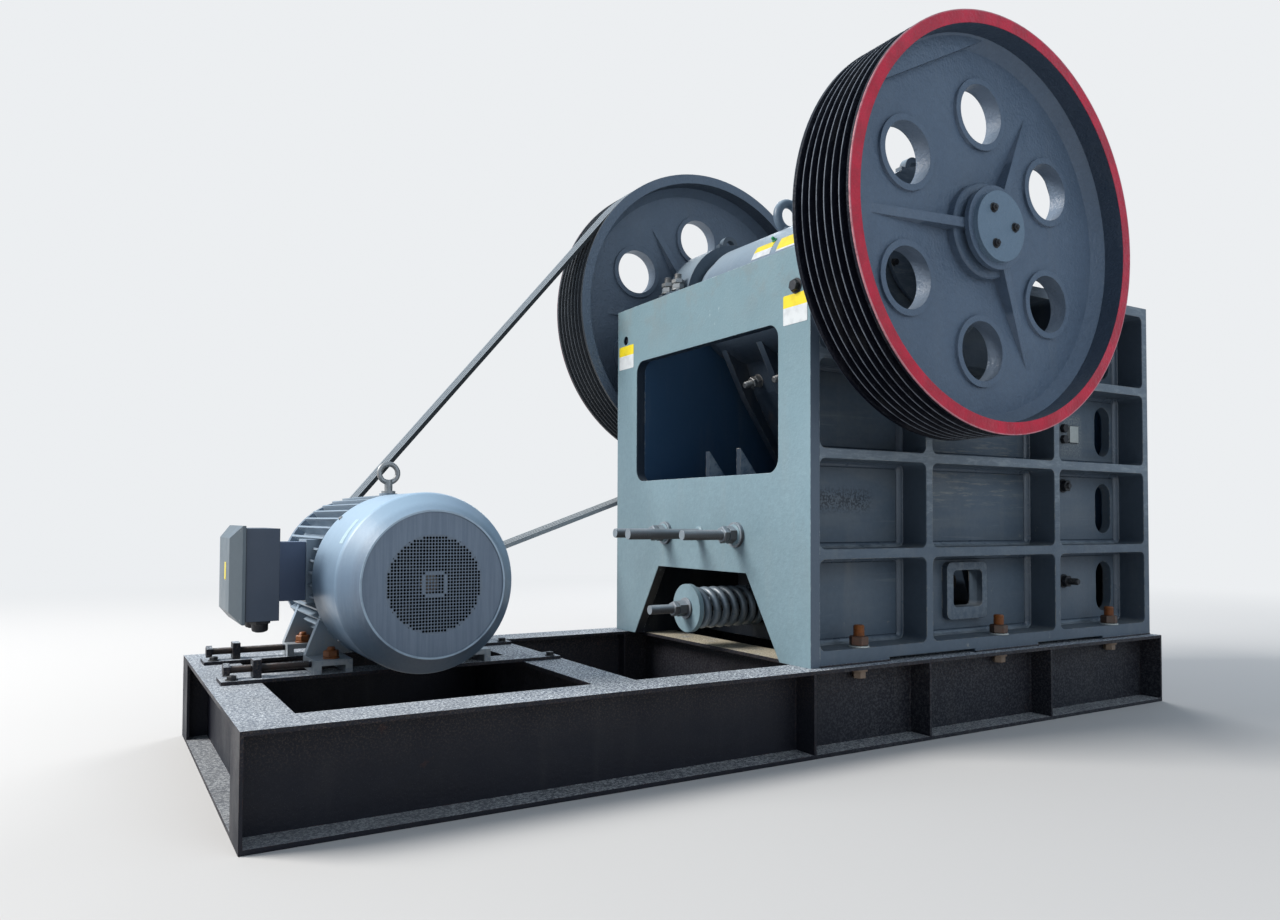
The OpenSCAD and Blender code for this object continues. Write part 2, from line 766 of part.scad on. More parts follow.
// Two lifting eyes on top of the barrel
module lifting_eyes() {
    wire = 22;
    ring = 65;
    color(steel) translate([body_x + ecc_x, 0, skid_h + ecc_z]) for (s = [-1, 1])
        translate([0, s*lifting_eye_spacing/2, 0]) difference() {
            union() {
                translate([0, 0, barrel_r - 10]) cylinder(r = 46, h = 36);
                translate([0, 0, barrel_r + 20 + ring]) rotate([90, 0, 0])
                    rotate_extrude() translate([ring, 0]) circle(wire, $fn = 32);
            }
            bar_y(0, 0, barrel_r, -60, 60);
        }
}

// Two slide rails under the motor feet
module motor_rails() {
    color(dark) for (y = [near_foot_y, near_foot_y + foot_pitch])
        translate([skid_x + 40, y - 60, skid_h]) cube([motor_beam_x + beam_flange_w/2 - 50, 120, rail_t]);
}

// Screws that slide the motor, each through a lug on its rail
module motor_adjusting_bolts() {
    lug_x = skid_x + 155;
    tip_x = motor_axis_x - foot_spacing/2 - 64;
    z = skid_h + rail_t + 30;
    color(dark) for (y = [near_foot_y, near_foot_y + foot_pitch]) {
        translate([lug_x - 13, y - 30, skid_h + rail_t]) cube([26, 60, 60]);
        bar_x(skid_x + 66, tip_x - seat, y, z, 12);
        nut_x(skid_x + 52, skid_x + 72, y, z, 22);
    }
}

// Finned stator frame in one casting with its feet, terminal box pad and eye bolt boss
module motor_frame() {
    lug = 30;
    pad_x = core_r + fin_h + 4;
    color(light) difference() {
        union() {
            about_y(motor_axis_x, motor_axis_z) {
                translate([0, 0, frame_y0]) cylinder(r = core_r, h = frame_l);
                for (k = [0:fins - 1])
                    rotate([0, 0, 360*(k + 0.5)/fins]) translate([core_r - 6, -4, cowl_end + 6])
                        cube([fin_h + 6, 8, frame_l - 60]);
                intersection() {
                    translate([0, 0, frame_y0]) cylinder(r = cowl_r - cowl_skin - seat, h = 20);
                    for (k = [0:3])
                        rotate([0, 0, 45*k]) translate([-cowl_r, -lug/2, frame_y0]) cube([2*cowl_r, lug, 20]);
                }
            }
            translate([motor_axis_x - pad_x, box_neck_y - 8, box_z - box_neck/2 - 8])
                cube([pad_x - core_r + 80, box_neck_l + 16, box_neck + 16]);
            translate([motor_axis_x, eye_y, motor_axis_z + core_r - 10]) cylinder(r = 34, h = fin_h + 16);
            motor_feet();
        }
        bar_y(motor_axis_x, motor_axis_z, motor_shaft_r + 2, frame_y0 - 1, frame_y1 + 1);
    }
}

// Four feet, each a hollow casting with a leg up to the frame; the near ones reach under the cowl
module motor_feet() {
    foot_w = 128;
    foot_h = 46;
    leg = 34;
    far_y = near_foot_y + foot_pitch;
    spans = [[near_foot_y - 55, cowl_end + 70], [far_y - 55, far_y + 55]];
    for (y = spans, s = [-1, 1])
        translate([motor_axis_x + s*foot_spacing/2, 0, skid_h + rail_t]) mirror([s > 0 ? 1 : 0, 0, 0]) {
            across(y[0], y[1]) difference() {
                translate([-foot_w/2, 0]) square([foot_w, foot_h]);
                translate([-foot_w/2 + 24, -1]) square([foot_w - 48, foot_h - 18]);
            }
            across(y[1] - leg, y[1]) polygon([
                [-foot_w/2, foot_h - 1], [foot_w/2, foot_h - 1], [110, foot_h + 8], [60, 230], [-8, 190]
            ]);
        }
}

// End shield and bearing cap at the drive end
module motor_end_shield() {
    bore = motor_shaft_r + run_fit;
    color(light) about_y(motor_axis_x, motor_axis_z) rotate_extrude() polygon([
        [bore, frame_y1], [core_r + 34, frame_y1], [core_r + 34, frame_y1 + shield_t],
        [150, frame_y1 + shield_t + 34], [112, frame_y1 + shield_t + 34],
        [112, frame_y1 + shield_t + 60], [bore, frame_y1 + shield_t + 60]
    ]);
}

// Fan cowl: a drum with a sloped shoulder and a lip round its flat face, open to the rear
module fan_cowl() {
    slope = 90;
    turn = 30;
    first = 54;
    lip = 6;
    outer = [for (a = [first:12:90]) [cowl_r - turn + turn*sin(a), slope - turn*cos(a)]];
    inner = [for (a = [90:-12:first]) [
        cowl_r - turn + (turn - cowl_skin)*sin(a), slope - (turn - cowl_skin)*cos(a)
    ]];
    color(light) about_y(motor_axis_x, motor_axis_z) translate([0, 0, -motor_face]) rotate_extrude()
        polygon(concat(
            [[grille_r, cowl_recess], [cowl_face_r - lip, cowl_recess], [cowl_face_r - lip, 0],
                [cowl_face_r, 0]],
            outer, [[cowl_r, cowl_l], [cowl_r - cowl_skin, cowl_l]], inner,
            [[cowl_face_r, cowl_recess + cowl_skin], [grille_r, cowl_recess + cowl_skin]]
        ));
}

// Grille in the cowl's front
module fan_grille() {
    step = 30;
    bar = 6;
    count = floor(grille_r/step);
    color(dark) about_y(motor_axis_x, motor_axis_z) translate([0, 0, cowl_recess - motor_face]) {
        difference() {
            cylinder(r = grille_r, h = cowl_skin);
            translate([0, 0, -1]) cylinder(r = grille_r - 8, h = 7);
        }
        intersection() {
            cylinder(r = grille_r - 4, h = 4);
            for (k = [-count:count]) {
                translate([k*step - bar/2, -grille_r, 0]) cube([bar, 2*grille_r, 4]);
                translate([-grille_r, k*step - bar/2, 0]) cube([2*grille_r, bar, 4]);
            }
        }
    }
}

// Terminal box on the side of the frame, with its neck
module terminal_box() {
    reach = core_r + fin_h + 4;
    color(paint) {
        translate([box_face_x, box_y - terminal_size/2, box_z - terminal_size/2])
            cube([terminal_d, terminal_size, terminal_size]);
        translate([box_face_x + 1, box_neck_y, box_z - box_neck/2])
            cube([motor_axis_x - reach - box_face_x - 1, box_neck_l, box_neck]);
    }
}

// Lid of the terminal box, bevelled all round
module terminal_box_lid() {
    rim = terminal_size + 18;
    face = terminal_size - 64;
    flange = 10;
    bevel = terminal_d/3;
    profile = [
        [0, -rim/2], [0, rim/2], [-flange, rim/2], [-flange - bevel, face/2],
        [-flange - bevel, -face/2], [-flange, -rim/2]
    ];
    color(light) translate([box_face_x, box_y, box_z]) intersection() {
        across(-rim/2, rim/2) polygon(profile);
        linear_extrude(rim, center = true) polygon(profile);
    }
}

// Lifting eye on top of the frame
module motor_eye() {
    color(steel) translate([motor_axis_x, eye_y, motor_axis_z + core_r + fin_h + 6]) {
        cylinder(r = 26, h = 10);
        cylinder(r = 15, h = 52);
        translate([0, 0, 78]) rotate([90, 0, 0]) rotate_extrude() translate([35, 0]) circle(10, $fn = 24);
    }
}

// Motor shaft from the fan to the pulley
module motor_shaft() {
    color(steel) {
        bar_y(motor_axis_x, motor_axis_z, fan_shaft_r, -motor_face + 60, frame_y0 + 40);
        bar_y(motor_axis_x, motor_axis_z, motor_shaft_r, frame_y0 + 20, pulley_end);
    }
}

// Fan inside the cowl
module cooling_fan() {
    blades = 8;
    color(dark) about_y(motor_axis_x, motor_axis_z) translate([0, 0, -motor_face + 70]) difference() {
        union() {
            cylinder(r = 60, h = 90);
            translate([0, 0, 70]) cylinder(r = 236, h = 8);
            for (k = [0:blades - 1])
                rotate([0, 0, 360*k/blades]) translate([50, -4, 4]) cube([182, 8, 70]);
        }
        translate([0, 0, -1]) cylinder(r = fan_shaft_r, h = 92);
    }
}

// Grooved pulley on the motor shaft
module motor_pulley() {
    width = (belts - 1)*groove_pitch + 2*pulley_edge;
    start = pulley_y + groove_pitch/2 - pulley_edge;
    color(dark) about_y(motor_axis_x, motor_axis_z) translate([0, 0, start]) difference() {
        rotate_extrude() polygon(rim_outline(pulley_r, 0, width, belts, pulley_edge - groove_pitch/2));
        translate([0, 0, -1]) cylinder(r = motor_shaft_r, h = width + 2);
    }
}

// Section of one belt: radius from the pulley centre, place along the shaft
module belt_section(r) {
    polygon([
        [r, -belt_w/2], [r, belt_w/2],
        [r - belt_t, belt_w/2 - flank*belt_t], [r - belt_t, -belt_w/2 + flank*belt_t]
    ]);
}

// One belt: two arcs and two straight runs
module belt_loop() {
    top = belt_dir + belt_open;
    low = belt_dir - belt_open;
    about_y(shaft_row_x, shaft_row_z) rotate([0, 0, -(low + 360)])
        rotate_extrude(angle = 360 - 2*belt_open) belt_section(wheel_r);
    about_y(motor_axis_x, motor_axis_z) rotate([0, 0, -top])
        rotate_extrude(angle = 2*belt_open) belt_section(pulley_r);
    translate([shaft_row_x, 0, shaft_row_z]) rotate([0, -top, 0])
        mirror([0, 0, 1]) linear_extrude(belt_run) belt_section(wheel_r);
    translate([shaft_row_x, 0, shaft_row_z]) rotate([0, -low, 0])
        linear_extrude(belt_run) belt_section(wheel_r);
}

// Belts side by side in the inner grooves of the far wheel
module drive_belts() {
    color(light) for (k = [0:belts - 1])
        translate([0, pulley_y + groove_pitch*(k + 0.5), 0]) belt_loop();
}

skid_side_beams();
cross_beams(beam_flange_w/2, skid_l - beam_flange_w/2);  // skid_end_beams
cross_beams(motor_beam_x, body_x - skid_x + body_beam_x);  // skid_cross_beams
side_wall();  // side_wall_near
mirror([0, 1, 0]) side_wall();  // side_wall_far
rear_wall();
front_wall();
cheek_plates();
fixed_jaw_plate();
bearing_cap(-1);  // bearing_cap_near
bearing_cap(1);  // bearing_cap_far
bearing_cover(-1);  // bearing_cover_near
bearing_cover(1);  // bearing_cover_far
main_bearing(-1);  // main_bearing_near
main_bearing(1);  // main_bearing_far
toggle_guides();
toggle_block();
toggle_plate();
adjusting_rods();
jack_screw();
tension_rod();
spring_plate();
tension_spring();
spring_bracket();
eccentric_shaft();
color(paint) on_shaft(-1) flywheel_form();  // flywheel_near
color(paint) on_shaft(1) flywheel_form();  // flywheel_far
on_shaft(-1) hub_cap();  // hub_cap_near
on_shaft(1) hub_cap();  // hub_cap_far
swing_jaw();
swing_jaw_plate();
lifting_eyes();
motor_rails();
motor_adjusting_bolts();
motor_frame();
motor_end_shield();
fan_cowl();
fan_grille();
terminal_box();
terminal_box_lid();
motor_eye();
motor_shaft();
cooling_fan();
motor_pulley();
drive_belts();
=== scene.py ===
import json
import math

import bmesh
import bpy
from mathutils import Matrix, Vector


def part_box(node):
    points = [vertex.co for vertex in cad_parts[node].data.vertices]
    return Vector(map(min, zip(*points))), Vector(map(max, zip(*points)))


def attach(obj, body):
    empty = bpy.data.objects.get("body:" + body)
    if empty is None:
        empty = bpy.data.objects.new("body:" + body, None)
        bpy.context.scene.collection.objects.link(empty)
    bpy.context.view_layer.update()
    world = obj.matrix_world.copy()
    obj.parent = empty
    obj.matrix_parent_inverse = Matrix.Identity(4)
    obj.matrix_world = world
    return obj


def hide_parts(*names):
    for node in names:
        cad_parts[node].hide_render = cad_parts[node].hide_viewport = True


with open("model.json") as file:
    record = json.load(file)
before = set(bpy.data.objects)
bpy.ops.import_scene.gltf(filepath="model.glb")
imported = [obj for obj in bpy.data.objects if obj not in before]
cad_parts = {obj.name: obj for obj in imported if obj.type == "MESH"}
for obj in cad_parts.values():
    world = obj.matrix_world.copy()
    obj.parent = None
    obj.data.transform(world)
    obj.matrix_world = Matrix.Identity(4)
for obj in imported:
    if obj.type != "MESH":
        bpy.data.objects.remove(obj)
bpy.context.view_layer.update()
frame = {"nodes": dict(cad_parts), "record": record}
nodes = frame["nodes"]

MM = 0.001
X, Y, Z = Vector((1, 0, 0)), Vector((0, 1, 0)), Vector((0, 0, 1))


def middle(node):
    """Centre of a node's box."""
    low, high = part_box(node)
    return (low + high) / 2


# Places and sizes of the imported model, in metres
REAR_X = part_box("rear_wall")[0].x
SKID_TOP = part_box("skid_side_beams")[1].z
BEAM_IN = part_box("skid_side_beams")[1].y - 0.167
FRONT_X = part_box("side_wall_near")[1].x
BODY_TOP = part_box("rear_wall")[1].z
WALL_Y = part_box("side_wall_far")[1].y
INNER_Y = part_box("side_wall_far")[0].y
SHAFT = middle("hub_cap_near")
WHEEL_IN, WHEEL_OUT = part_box("flywheel_far")[0].y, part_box("flywheel_far")[1].y
WHEEL_R = (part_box("flywheel_far")[1].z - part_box("flywheel_far")[0].z) / 2
CAP_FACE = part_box("hub_cap_far")[1].y
MOTOR = middle("motor_end_shield")
COWL_FACE, COWL_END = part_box("fan_cowl")[0].y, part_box("fan_cowl")[1].y
COWL_R = (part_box("fan_cowl")[1].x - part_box("fan_cowl")[0].x) / 2
MOTOR_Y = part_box("motor_end_shield")[0].y
BOX_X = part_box("terminal_box")[0].x
ECCENTRIC = Vector(frame["record"]["behaviour"]["joints"][1]["pos_m"])

# Sizes that the source gives in millimetres
RIM_T = 48
HOLE_NEAR, HOLE_FAR = 0.33, 0.58
GROOVE_D = 24
WEB_BACK = 124
COWL_EDGE = 246
TERMINAL_D = 108
RIB_DEPTH = 145
POCKET_R = 28
SADDLE_R = 395
JAW_LEAN = math.radians(19.2)
BARREL_R = 306


# Camera

def add_camera():
    """Camera at the photograph's place: yaw is measured from +X towards +Y."""
    place = Vector((-2.403, -3.334, 0.858))
    yaw, pitch, roll = (math.radians(a) for a in (59.12, 1.67, 0.24))
    ahead = Vector((math.cos(yaw) * math.cos(pitch), math.sin(yaw) * math.cos(pitch), math.sin(pitch)))
    right = Vector((math.sin(yaw), -math.cos(yaw), 0))
    up = right.cross(ahead)
    right, up = (math.cos(roll) * right + math.sin(roll) * up,
                 math.cos(roll) * up - math.sin(roll) * right)
    data = bpy.data.cameras.new("camera")
    data.lens, data.sensor_width, data.shift_y = 26.2, 36, 0.0252
    camera = bpy.data.objects.new("camera", data)
    bpy.context.scene.collection.objects.link(camera)
    turn = Matrix((right, up, -ahead)).transposed()
    camera.matrix_world = Matrix.Translation(place) @ turn.to_4x4()
    bpy.context.scene.camera = camera


add_camera()


# Materials

def lin(r, g, b):
    """Linear colour of an sRGB colour given in 0 to 255."""
    return tuple(((c / 255 + 0.055) / 1.055) ** 2.4 if c > 10 else c / 255 / 12.92
                 for c in (r, g, b)) + (1,)


def scaled(color, factor):
    """The colour made darker or lighter by a factor."""
    return tuple(min(1, c * factor) for c in color[:3]) + (1,)


class Nodes:
    """Small builder for a material's node tree."""

    def __init__(self, name):
        self.material = bpy.data.materials.new(name)
        self.material.use_nodes = True
        self.tree = self.material.node_tree
        self.shader = self.tree.nodes["Principled BSDF"]
        self.coords = self.add("ShaderNodeTexCoord").outputs["Object"]

    def add(self, kind, **settings):
        node = self.tree.nodes.new(kind)
        for key, value in settings.items():
            setattr(node, key, value)
        return node

    def link(self, value, socket):
        if isinstance(value, bpy.types.NodeSocket):
            self.tree.links.new(value, socket)
        else:
            socket.default_value = value

    def math(self, operation, a, b=0.0, clamp=False):
        node = self.add("ShaderNodeMath", operation=operation, use_clamp=clamp)
        self.link(a, node.inputs[0])
        self.link(b, node.inputs[1])
        return node.outputs[0]

    def product(self, *factors):
        total = factors[0]
        for factor in factors[1:]:
            total = self.math("MULTIPLY", total, factor)
        return total

    def place(self):
        """The point's X, Y and Z in the row frame at rest, in metres."""
        node = self.add("ShaderNodeSeparateXYZ")
        self.link(self.coords, node.inputs[0])
        return node.outputs

    def within(self, value, low=None, high=None, blur=0.002):
        """1 where a value lies between two limits, either of which may be left out."""
        inside = []
        if low is not None:
            inside.append(self.ramp(value, low - blur, low + blur))
        if high is not None:
            inside.append(self.ramp(value, high - blur, high + blur, 1.0, 0.0))
        return self.product(*inside)

    def from_axis(self, centre):
        """Distance from a line along Y through a centre."""
        x, _, z = self.place()
        a = self.math("POWER", self.math("SUBTRACT", x, centre.x), 2.0)
        b = self.math("POWER", self.math("SUBTRACT", z, centre.z), 2.0)
        return self.math("SQRT", self.math("ADD", a, b))

    def noise(self, scale, detail=4.0, rough=0.55, stretch=(1, 1, 1), shift=(0, 0, 0)):
        place = self.add("ShaderNodeMapping")
        self.link(self.coords, place.inputs["Vector"])
        place.inputs["Scale"].default_value = stretch
        place.inputs["Location"].default_value = shift
        node = self.add("ShaderNodeTexNoise")
        self.link(place.outputs[0], node.inputs["Vector"])
        node.inputs["Scale"].default_value = scale
        node.inputs["Detail"].default_value = detail
        node.inputs["Roughness"].default_value = rough
        return node.outputs["Fac"]

    def ramp(self, value, low, high, a=0.0, b=1.0):
        node = self.add("ShaderNodeMapRange", interpolation_type="SMOOTHSTEP")
        for v, name in ((value, "Value"), (low, "From Min"), (high, "From Max"), (a, "To Min"), (b, "To Max")):
            self.link(v, node.inputs[name])
        return node.outputs[0]

    def mix(self, factor, a, b):
        node = self.add("ShaderNodeMix", data_type="RGBA")
        self.link(factor, node.inputs[0])
        self.link(a, node.inputs[6])
        self.link(b, node.inputs[7])
        return node.outputs[2]

    def coat(self, color, *shares):
        """Lays a colour over the base, as strongly as the product of the shares."""
        self.base = self.mix(self.product(*shares), self.base, color)

    def normal(self):
        node = self.add("ShaderNodeSeparateXYZ")
        self.link(self.add("ShaderNodeNewGeometry").outputs["Normal"], node.inputs[0])
        return node.outputs

    def edges(self, radius, low=0.02, high=0.25):
        """1 on a sharp edge, 0 away from it."""
        bevel = self.add("ShaderNodeBevel", samples=4)
        bevel.inputs["Radius"].default_value = radius
        along = self.add("ShaderNodeVectorMath", operation="DOT_PRODUCT")
        self.link(bevel.outputs[0], along.inputs[0])
        self.link(self.add("ShaderNodeNewGeometry").outputs["Normal"], along.inputs[1])
        return self.ramp(self.math("SUBTRACT", 1.0, along.outputs["Value"]), low, high)

    def bumps(self, *layers, bevel=0.0):
        """Stacks bump layers given as (height socket, strength, distance)."""
        normal = None
        if bevel:
            node = self.add("ShaderNodeBevel", samples=4)
            node.inputs["Radius"].default_value = bevel
            normal = node.outputs[0]
        for height, strength, distance in layers:
            node = self.add("ShaderNodeBump")
            node.inputs["Strength"].default_value = strength
            node.inputs["Distance"].default_value = distance
            self.link(height, node.inputs["Height"])
            if normal:
                self.link(normal, node.inputs["Normal"])
            normal = node.outputs[0]
        self.link(normal, self.shader.inputs["Normal"])


RUST = lin(126, 70, 40)
RUST_DARK = lin(62, 40, 30)
DUST = lin(150, 147, 138)
SCUFF = lin(176, 172, 160)


def paint(name, color, rough=0.42, dust=0.35, wear=0.5, peel=0.25, chips=SCUFF, spread=0.1, soft=0.003,
          streaks=0.12, gloss=0.4, zones=None):
    """Sprayed paint on steel: uneven tone, orange peel, runs, dust on top and worn edges.
    zones(n) may coat parts of the surface before it is worn."""
    n = Nodes(name)
    n.shader.inputs["Specular IOR Level"].default_value = gloss
    tone = n.math("ADD", n.math("MULTIPLY", n.noise(1.7, 5), 0.6), n.math("MULTIPLY", n.noise(45, 3), 0.4))
    n.base = n.mix(n.ramp(tone, 0.3, 0.7), scaled(color, 1 - spread), scaled(color, 1 + spread))
    if zones:
        zones(n)
    streak = n.ramp(n.noise(9, 5, 0.6, stretch=(1, 1, 0.12)), 0.5, 0.8)
    n.coat(DUST, streak, streaks)
    spots = n.product(n.ramp(n.noise(17, 8, 0.7), 0.64, 0.7), n.ramp(n.noise(1.3, 2), 0.45, 0.65), 0.5)
    edge = n.product(n.edges(0.005), n.ramp(n.noise(26, 6, 0.7), 0.48, 0.6))
    worn = n.math("MULTIPLY", n.math("MAXIMUM", spots, edge), wear, clamp=True)
    n.coat(chips, worn)
    top = n.product(n.ramp(n.normal()[2], 0.35, 0.95), n.ramp(n.noise(5, 6, 0.65), 0.2, 0.75), dust)
    grit = n.ramp(n.noise(260, 2, 0.6), 0.35, 0.7, 0.55, 1.25)
    n.coat(DUST, n.math("MULTIPLY", top, grit, clamp=True))
    n.link(n.base, n.shader.inputs["Base Color"])
    matt = n.math("MULTIPLY", n.math("ADD", top, worn), 0.35)
    n.link(n.math("ADD", n.ramp(n.noise(6, 4), 0.3, 0.7, rough - 0.07, rough + 0.1), matt),
           n.shader.inputs["Roughness"])
    n.bumps((n.noise(90, 2), peel, 0.004), (n.noise(14, 3), peel * 0.6, 0.01), bevel=soft)
    return n.material


def bare(name, color, rough=0.45, rust=0.5, metal=0.7, grain=(1, 1, 1), zones=None):
    """Bare or oily steel with a film of rust."""
    n = Nodes(name)
    n.base = n.mix(n.noise(30, 5, 0.6, stretch=grain), scaled(color, 0.6), color)
    cover = n.math("MULTIPLY", n.ramp(n.noise(14, 8, 0.7), 0.42, 0.66), rust, clamp=True)
    n.coat(n.mix(n.noise(60, 4), RUST_DARK, RUST), cover)
    if zones:
        zones(n)
    n.link(n.base, n.shader.inputs["Base Color"])
    n.link(n.math("SUBTRACT", metal, n.math("MULTIPLY", cover, metal)), n.shader.inputs["Metallic"])
    n.link(n.math("ADD", rough, n.math("MULTIPLY", cover, 0.35)), n.shader.inputs["Roughness"])
    n.bumps((n.noise(120, 3), 0.2, 0.002), bevel=0.0015)
    return n.material


def film(name, color):
    """Printed plastic film, a little faded and scratched."""
    n = Nodes(name)
    faded = n.mix(n.ramp(n.noise(20, 4), 0.4, 0.75), color, scaled(color, 0.8))
    scratch = n.product(n.ramp(n.noise(70, 6, 0.7, stretch=(1, 1, 0.2)), 0.6, 0.7), 0.35)
    n.link(n.mix(scratch, faded, DUST), n.shader.inputs["Base Color"])
    n.shader.inputs["Roughness"].default_value = 0.35
    n.bumps((n.noise(30, 2), 0.1, 0.002))
    return n.material


def body_zones(n):
    """Painted shade on the inner faces (navy, darker towards the bottom), under each level rib, on the rib
    sides that face -X and on the gussets' faces that face -X; painted light on the lower pocket floors near the
    front, on one speckled patch, on the outer faces towards the top and on the gussets' sides; thin dust in the
    side pockets, scuffed level ribs and a scraped boss.
    """
    x, y, z = n.place()
    across = n.math("ABSOLUTE", y)
    # painted shade: the inner faces are coated navy at the end, darker towards the bottom
    inside = n.product(n.within(across, high=INNER_Y + 0.004), n.within(x, high=FRONT_X - 0.005),
                       n.within(z, high=BODY_TOP - 0.005))
    gusset = n.product(n.within(across, high=0.135), n.within(x, high=REAR_X + 0.24),
                       n.within(z, low=SKID_TOP + 0.733))
    nx, ny, nz = n.normal()
    flat = n.ramp(n.math("ABSOLUTE", ny), 0.8, 0.95)
    floor = n.product(flat, n.within(across, WALL_Y - (RIB_DEPTH + 3) * MM, WALL_Y - 0.1))
    dust = n.product(n.ramp(n.noise(5, 6, 0.6, stretch=(0.5, 1, 2.2)), 0.42, 0.62),
                     n.ramp(z, SKID_TOP + 0.2, SKID_TOP + 0.75, 0.35, 1.0))
    n.coat(lin(128, 130, 126), floor, dust, 0.16)
    lines = n.ramp(n.noise(16, 4, 0.6, stretch=(0.12, 1, 2.5)), 0.6, 0.7)
    n.coat(lin(150, 156, 158), floor, lines, 0.14)
    strokes = n.ramp(n.noise(21, 6, 0.75, stretch=(0.3, 1, 3)), 0.5, 0.62)
    rubbed = n.product(floor, strokes, n.within(x, FRONT_X - 1.4, FRONT_X - 0.8, 0.1),
                       n.within(z, SKID_TOP + 0.62, SKID_TOP + 0.9, 0.06))
    n.coat(lin(140, 140, 134), rubbed, 0.5)
    rough = n.product(floor, n.ramp(n.noise(110, 4, 0.75), 0.46, 0.54),
                      n.within(x, REAR_X + 0.04, REAR_X + 0.44, 0.04),
                      n.within(z, SKID_TOP + 0.585, SKID_TOP + 0.665, 0.03))
    n.coat(lin(26, 32, 42), rough, 0.85)
    # painted light on the lower pocket floors near the front
    lit = n.product(floor, n.within(x, low=FRONT_X - 0.7, blur=0.05), n.within(z, high=SKID_TOP + 0.85))
    n.coat(lin(118, 128, 138), lit, 0.18)
    # painted shadow under each level rib, on the pocket floors
    for share in (0.2519, 0.4911, 0.7278, 0.97):
        top = SKID_TOP + share * (BODY_TOP - SKID_TOP)
        shade = n.product(floor, n.ramp(z, top - 0.12, top), n.within(z, high=top + 0.03), 0.35)
        n.coat(lin(30, 37, 48), shade)
    # painted shade on the rib sides that face -X
    away = n.product(n.ramp(nx, -0.9, -0.5, 1.0, 0.0), n.within(z, high=BODY_TOP),
                     n.within(across, WALL_Y - RIB_DEPTH * MM, WALL_Y - 0.004))
    n.coat(lin(32, 40, 52), away, 0.45)
    cap = n.product(n.ramp(nz, 0.1, 0.7), n.within(z, low=BODY_TOP + 0.004),
                    n.within(across, high=WALL_Y - 0.01))
    n.coat(lin(150, 168, 182), cap, 0.55)
    # painted light on the outer faces, stronger towards the top; the scuffs below are wear
    outside = n.product(flat, n.within(across, low=WALL_Y - 0.003))
    n.coat(lin(160, 170, 178), outside, n.ramp(z, SKID_TOP + 0.5, SKID_TOP + 0.8, 0.02, 0.2))
    outer = n.product(outside, n.ramp(z, SKID_TOP + 0.3, SKID_TOP + 0.7))
    scuff = n.ramp(n.noise(34, 7, 0.75, stretch=(0.3, 1, 1.4)), 0.46, 0.64)
    n.coat(lin(142, 152, 158), outer, scuff, 0.55)
    # painted sunlight, speckled, on one pocket floor
    patch = n.product(floor, n.within(x, FRONT_X - 0.47, FRONT_X - 0.31, 0.02),
                      n.within(z, SKID_TOP + 0.85, SKID_TOP + 1.05, 0.02))
    n.coat(lin(140, 144, 142), patch, n.ramp(n.noise(120, 4, 0.7), 0.42, 0.62), 0.6)
    boss = n.product(flat, n.within(across, WALL_Y - (RIB_DEPTH - 24) * MM, WALL_Y - (RIB_DEPTH - 32) * MM))
    n.coat(lin(122, 132, 140), boss, n.ramp(n.noise(40, 6, 0.7), 0.4, 0.6), 0.35)
    # painted shade on the inner faces, darker towards the bottom
    low = n.ramp(z, SKID_TOP + 0.32, SKID_TOP + 0.6, 0.0, 1.0)
    n.coat(n.mix(low, lin(5, 8, 20), lin(50, 82, 113)), inside, 0.88)
    # painted shade on the gussets' faces that face -X, and painted light on their sides
    n.coat(lin(26, 34, 44), gusset, n.ramp(nx, -0.9, -0.5, 0.9, 0.0))
    n.coat(lin(150, 162, 170), gusset, flat, n.ramp(n.noise(20, 5, 0.7), 0.25, 0.6))


def seam_zones(n):
    """Painted sky highlight, in patches, on the fillets where they face upward."""
    up = n.ramp(n.normal()[2], 0.2, 0.8)
    patchy_highlight = n.ramp(n.noise(12, 6, 0.7), 0.35, 0.65, 0.1, 0.6)
    n.coat(lin(150, 164, 176), up, patchy_highlight)


def wall_zones(n):
    """The rear wall's pale paint is painted sunlight, with painted shade darkening its outer face towards the
    top and dust near the top; its ends match the sides, and painted shade makes its openings and inner face
    dark, darker towards the bottom.
    """
    x, y, z = n.place()
    across = n.math("ABSOLUTE", y)
    # painted shade: the outer face darkens towards the top
    high = n.product(n.ramp(z, SKID_TOP + 0.5, BODY_TOP), n.within(x, high=REAR_X + 0.003))
    n.coat(lin(104, 129, 137), high, 0.8)
    dusty = n.product(n.ramp(z, BODY_TOP - 0.3, BODY_TOP - 0.05), n.ramp(n.noise(7, 7, 0.7), 0.45, 0.6), 0.45)
    n.coat(lin(112, 122, 124), dusty)
    # the ends take the sides' paint, without the painted sunlight
    ends = n.product(n.ramp(n.math("ABSOLUTE", n.normal()[1]), 0.5, 0.8), n.within(across, low=WALL_Y - 0.006))
    n.coat(lin(80, 92, 106), ends)
    # painted shade in the openings and on the inner face, darker towards the bottom
    reveal = n.product(n.within(x, low=REAR_X + 0.003, blur=0.001), n.within(across, high=WALL_Y - 0.01),
                       n.within(z, high=BODY_TOP - 0.004))
    n.coat(n.mix(n.ramp(z, SKID_TOP + 0.42, SKID_TOP + 0.6), lin(6, 10, 26), lin(26, 38, 54)), reveal, 0.97)


def jaw_zones(n):
    """Painted shade makes the part of the swing jaw that hangs in the body dark navy, with smears of old
    grease.
    """
    z = n.place()[2]
    low = n.ramp(z, SKID_TOP + 1.3, SKID_TOP + 1.56, 1.0, 0.0)
    smear = n.ramp(n.noise(7, 6, 0.65), 0.55, 0.7, 0.0, 0.4)
    # painted shade on the part inside the body, then brown grease smears
    n.coat(lin(26, 36, 50), low, 0.78)
    n.coat(lin(84, 72, 62), low, smear)
    above = n.product(n.ramp(n.normal()[2], 0.1, 0.8), n.within(z, low=BODY_TOP))
    n.coat(lin(158, 176, 190), above, 0.6)


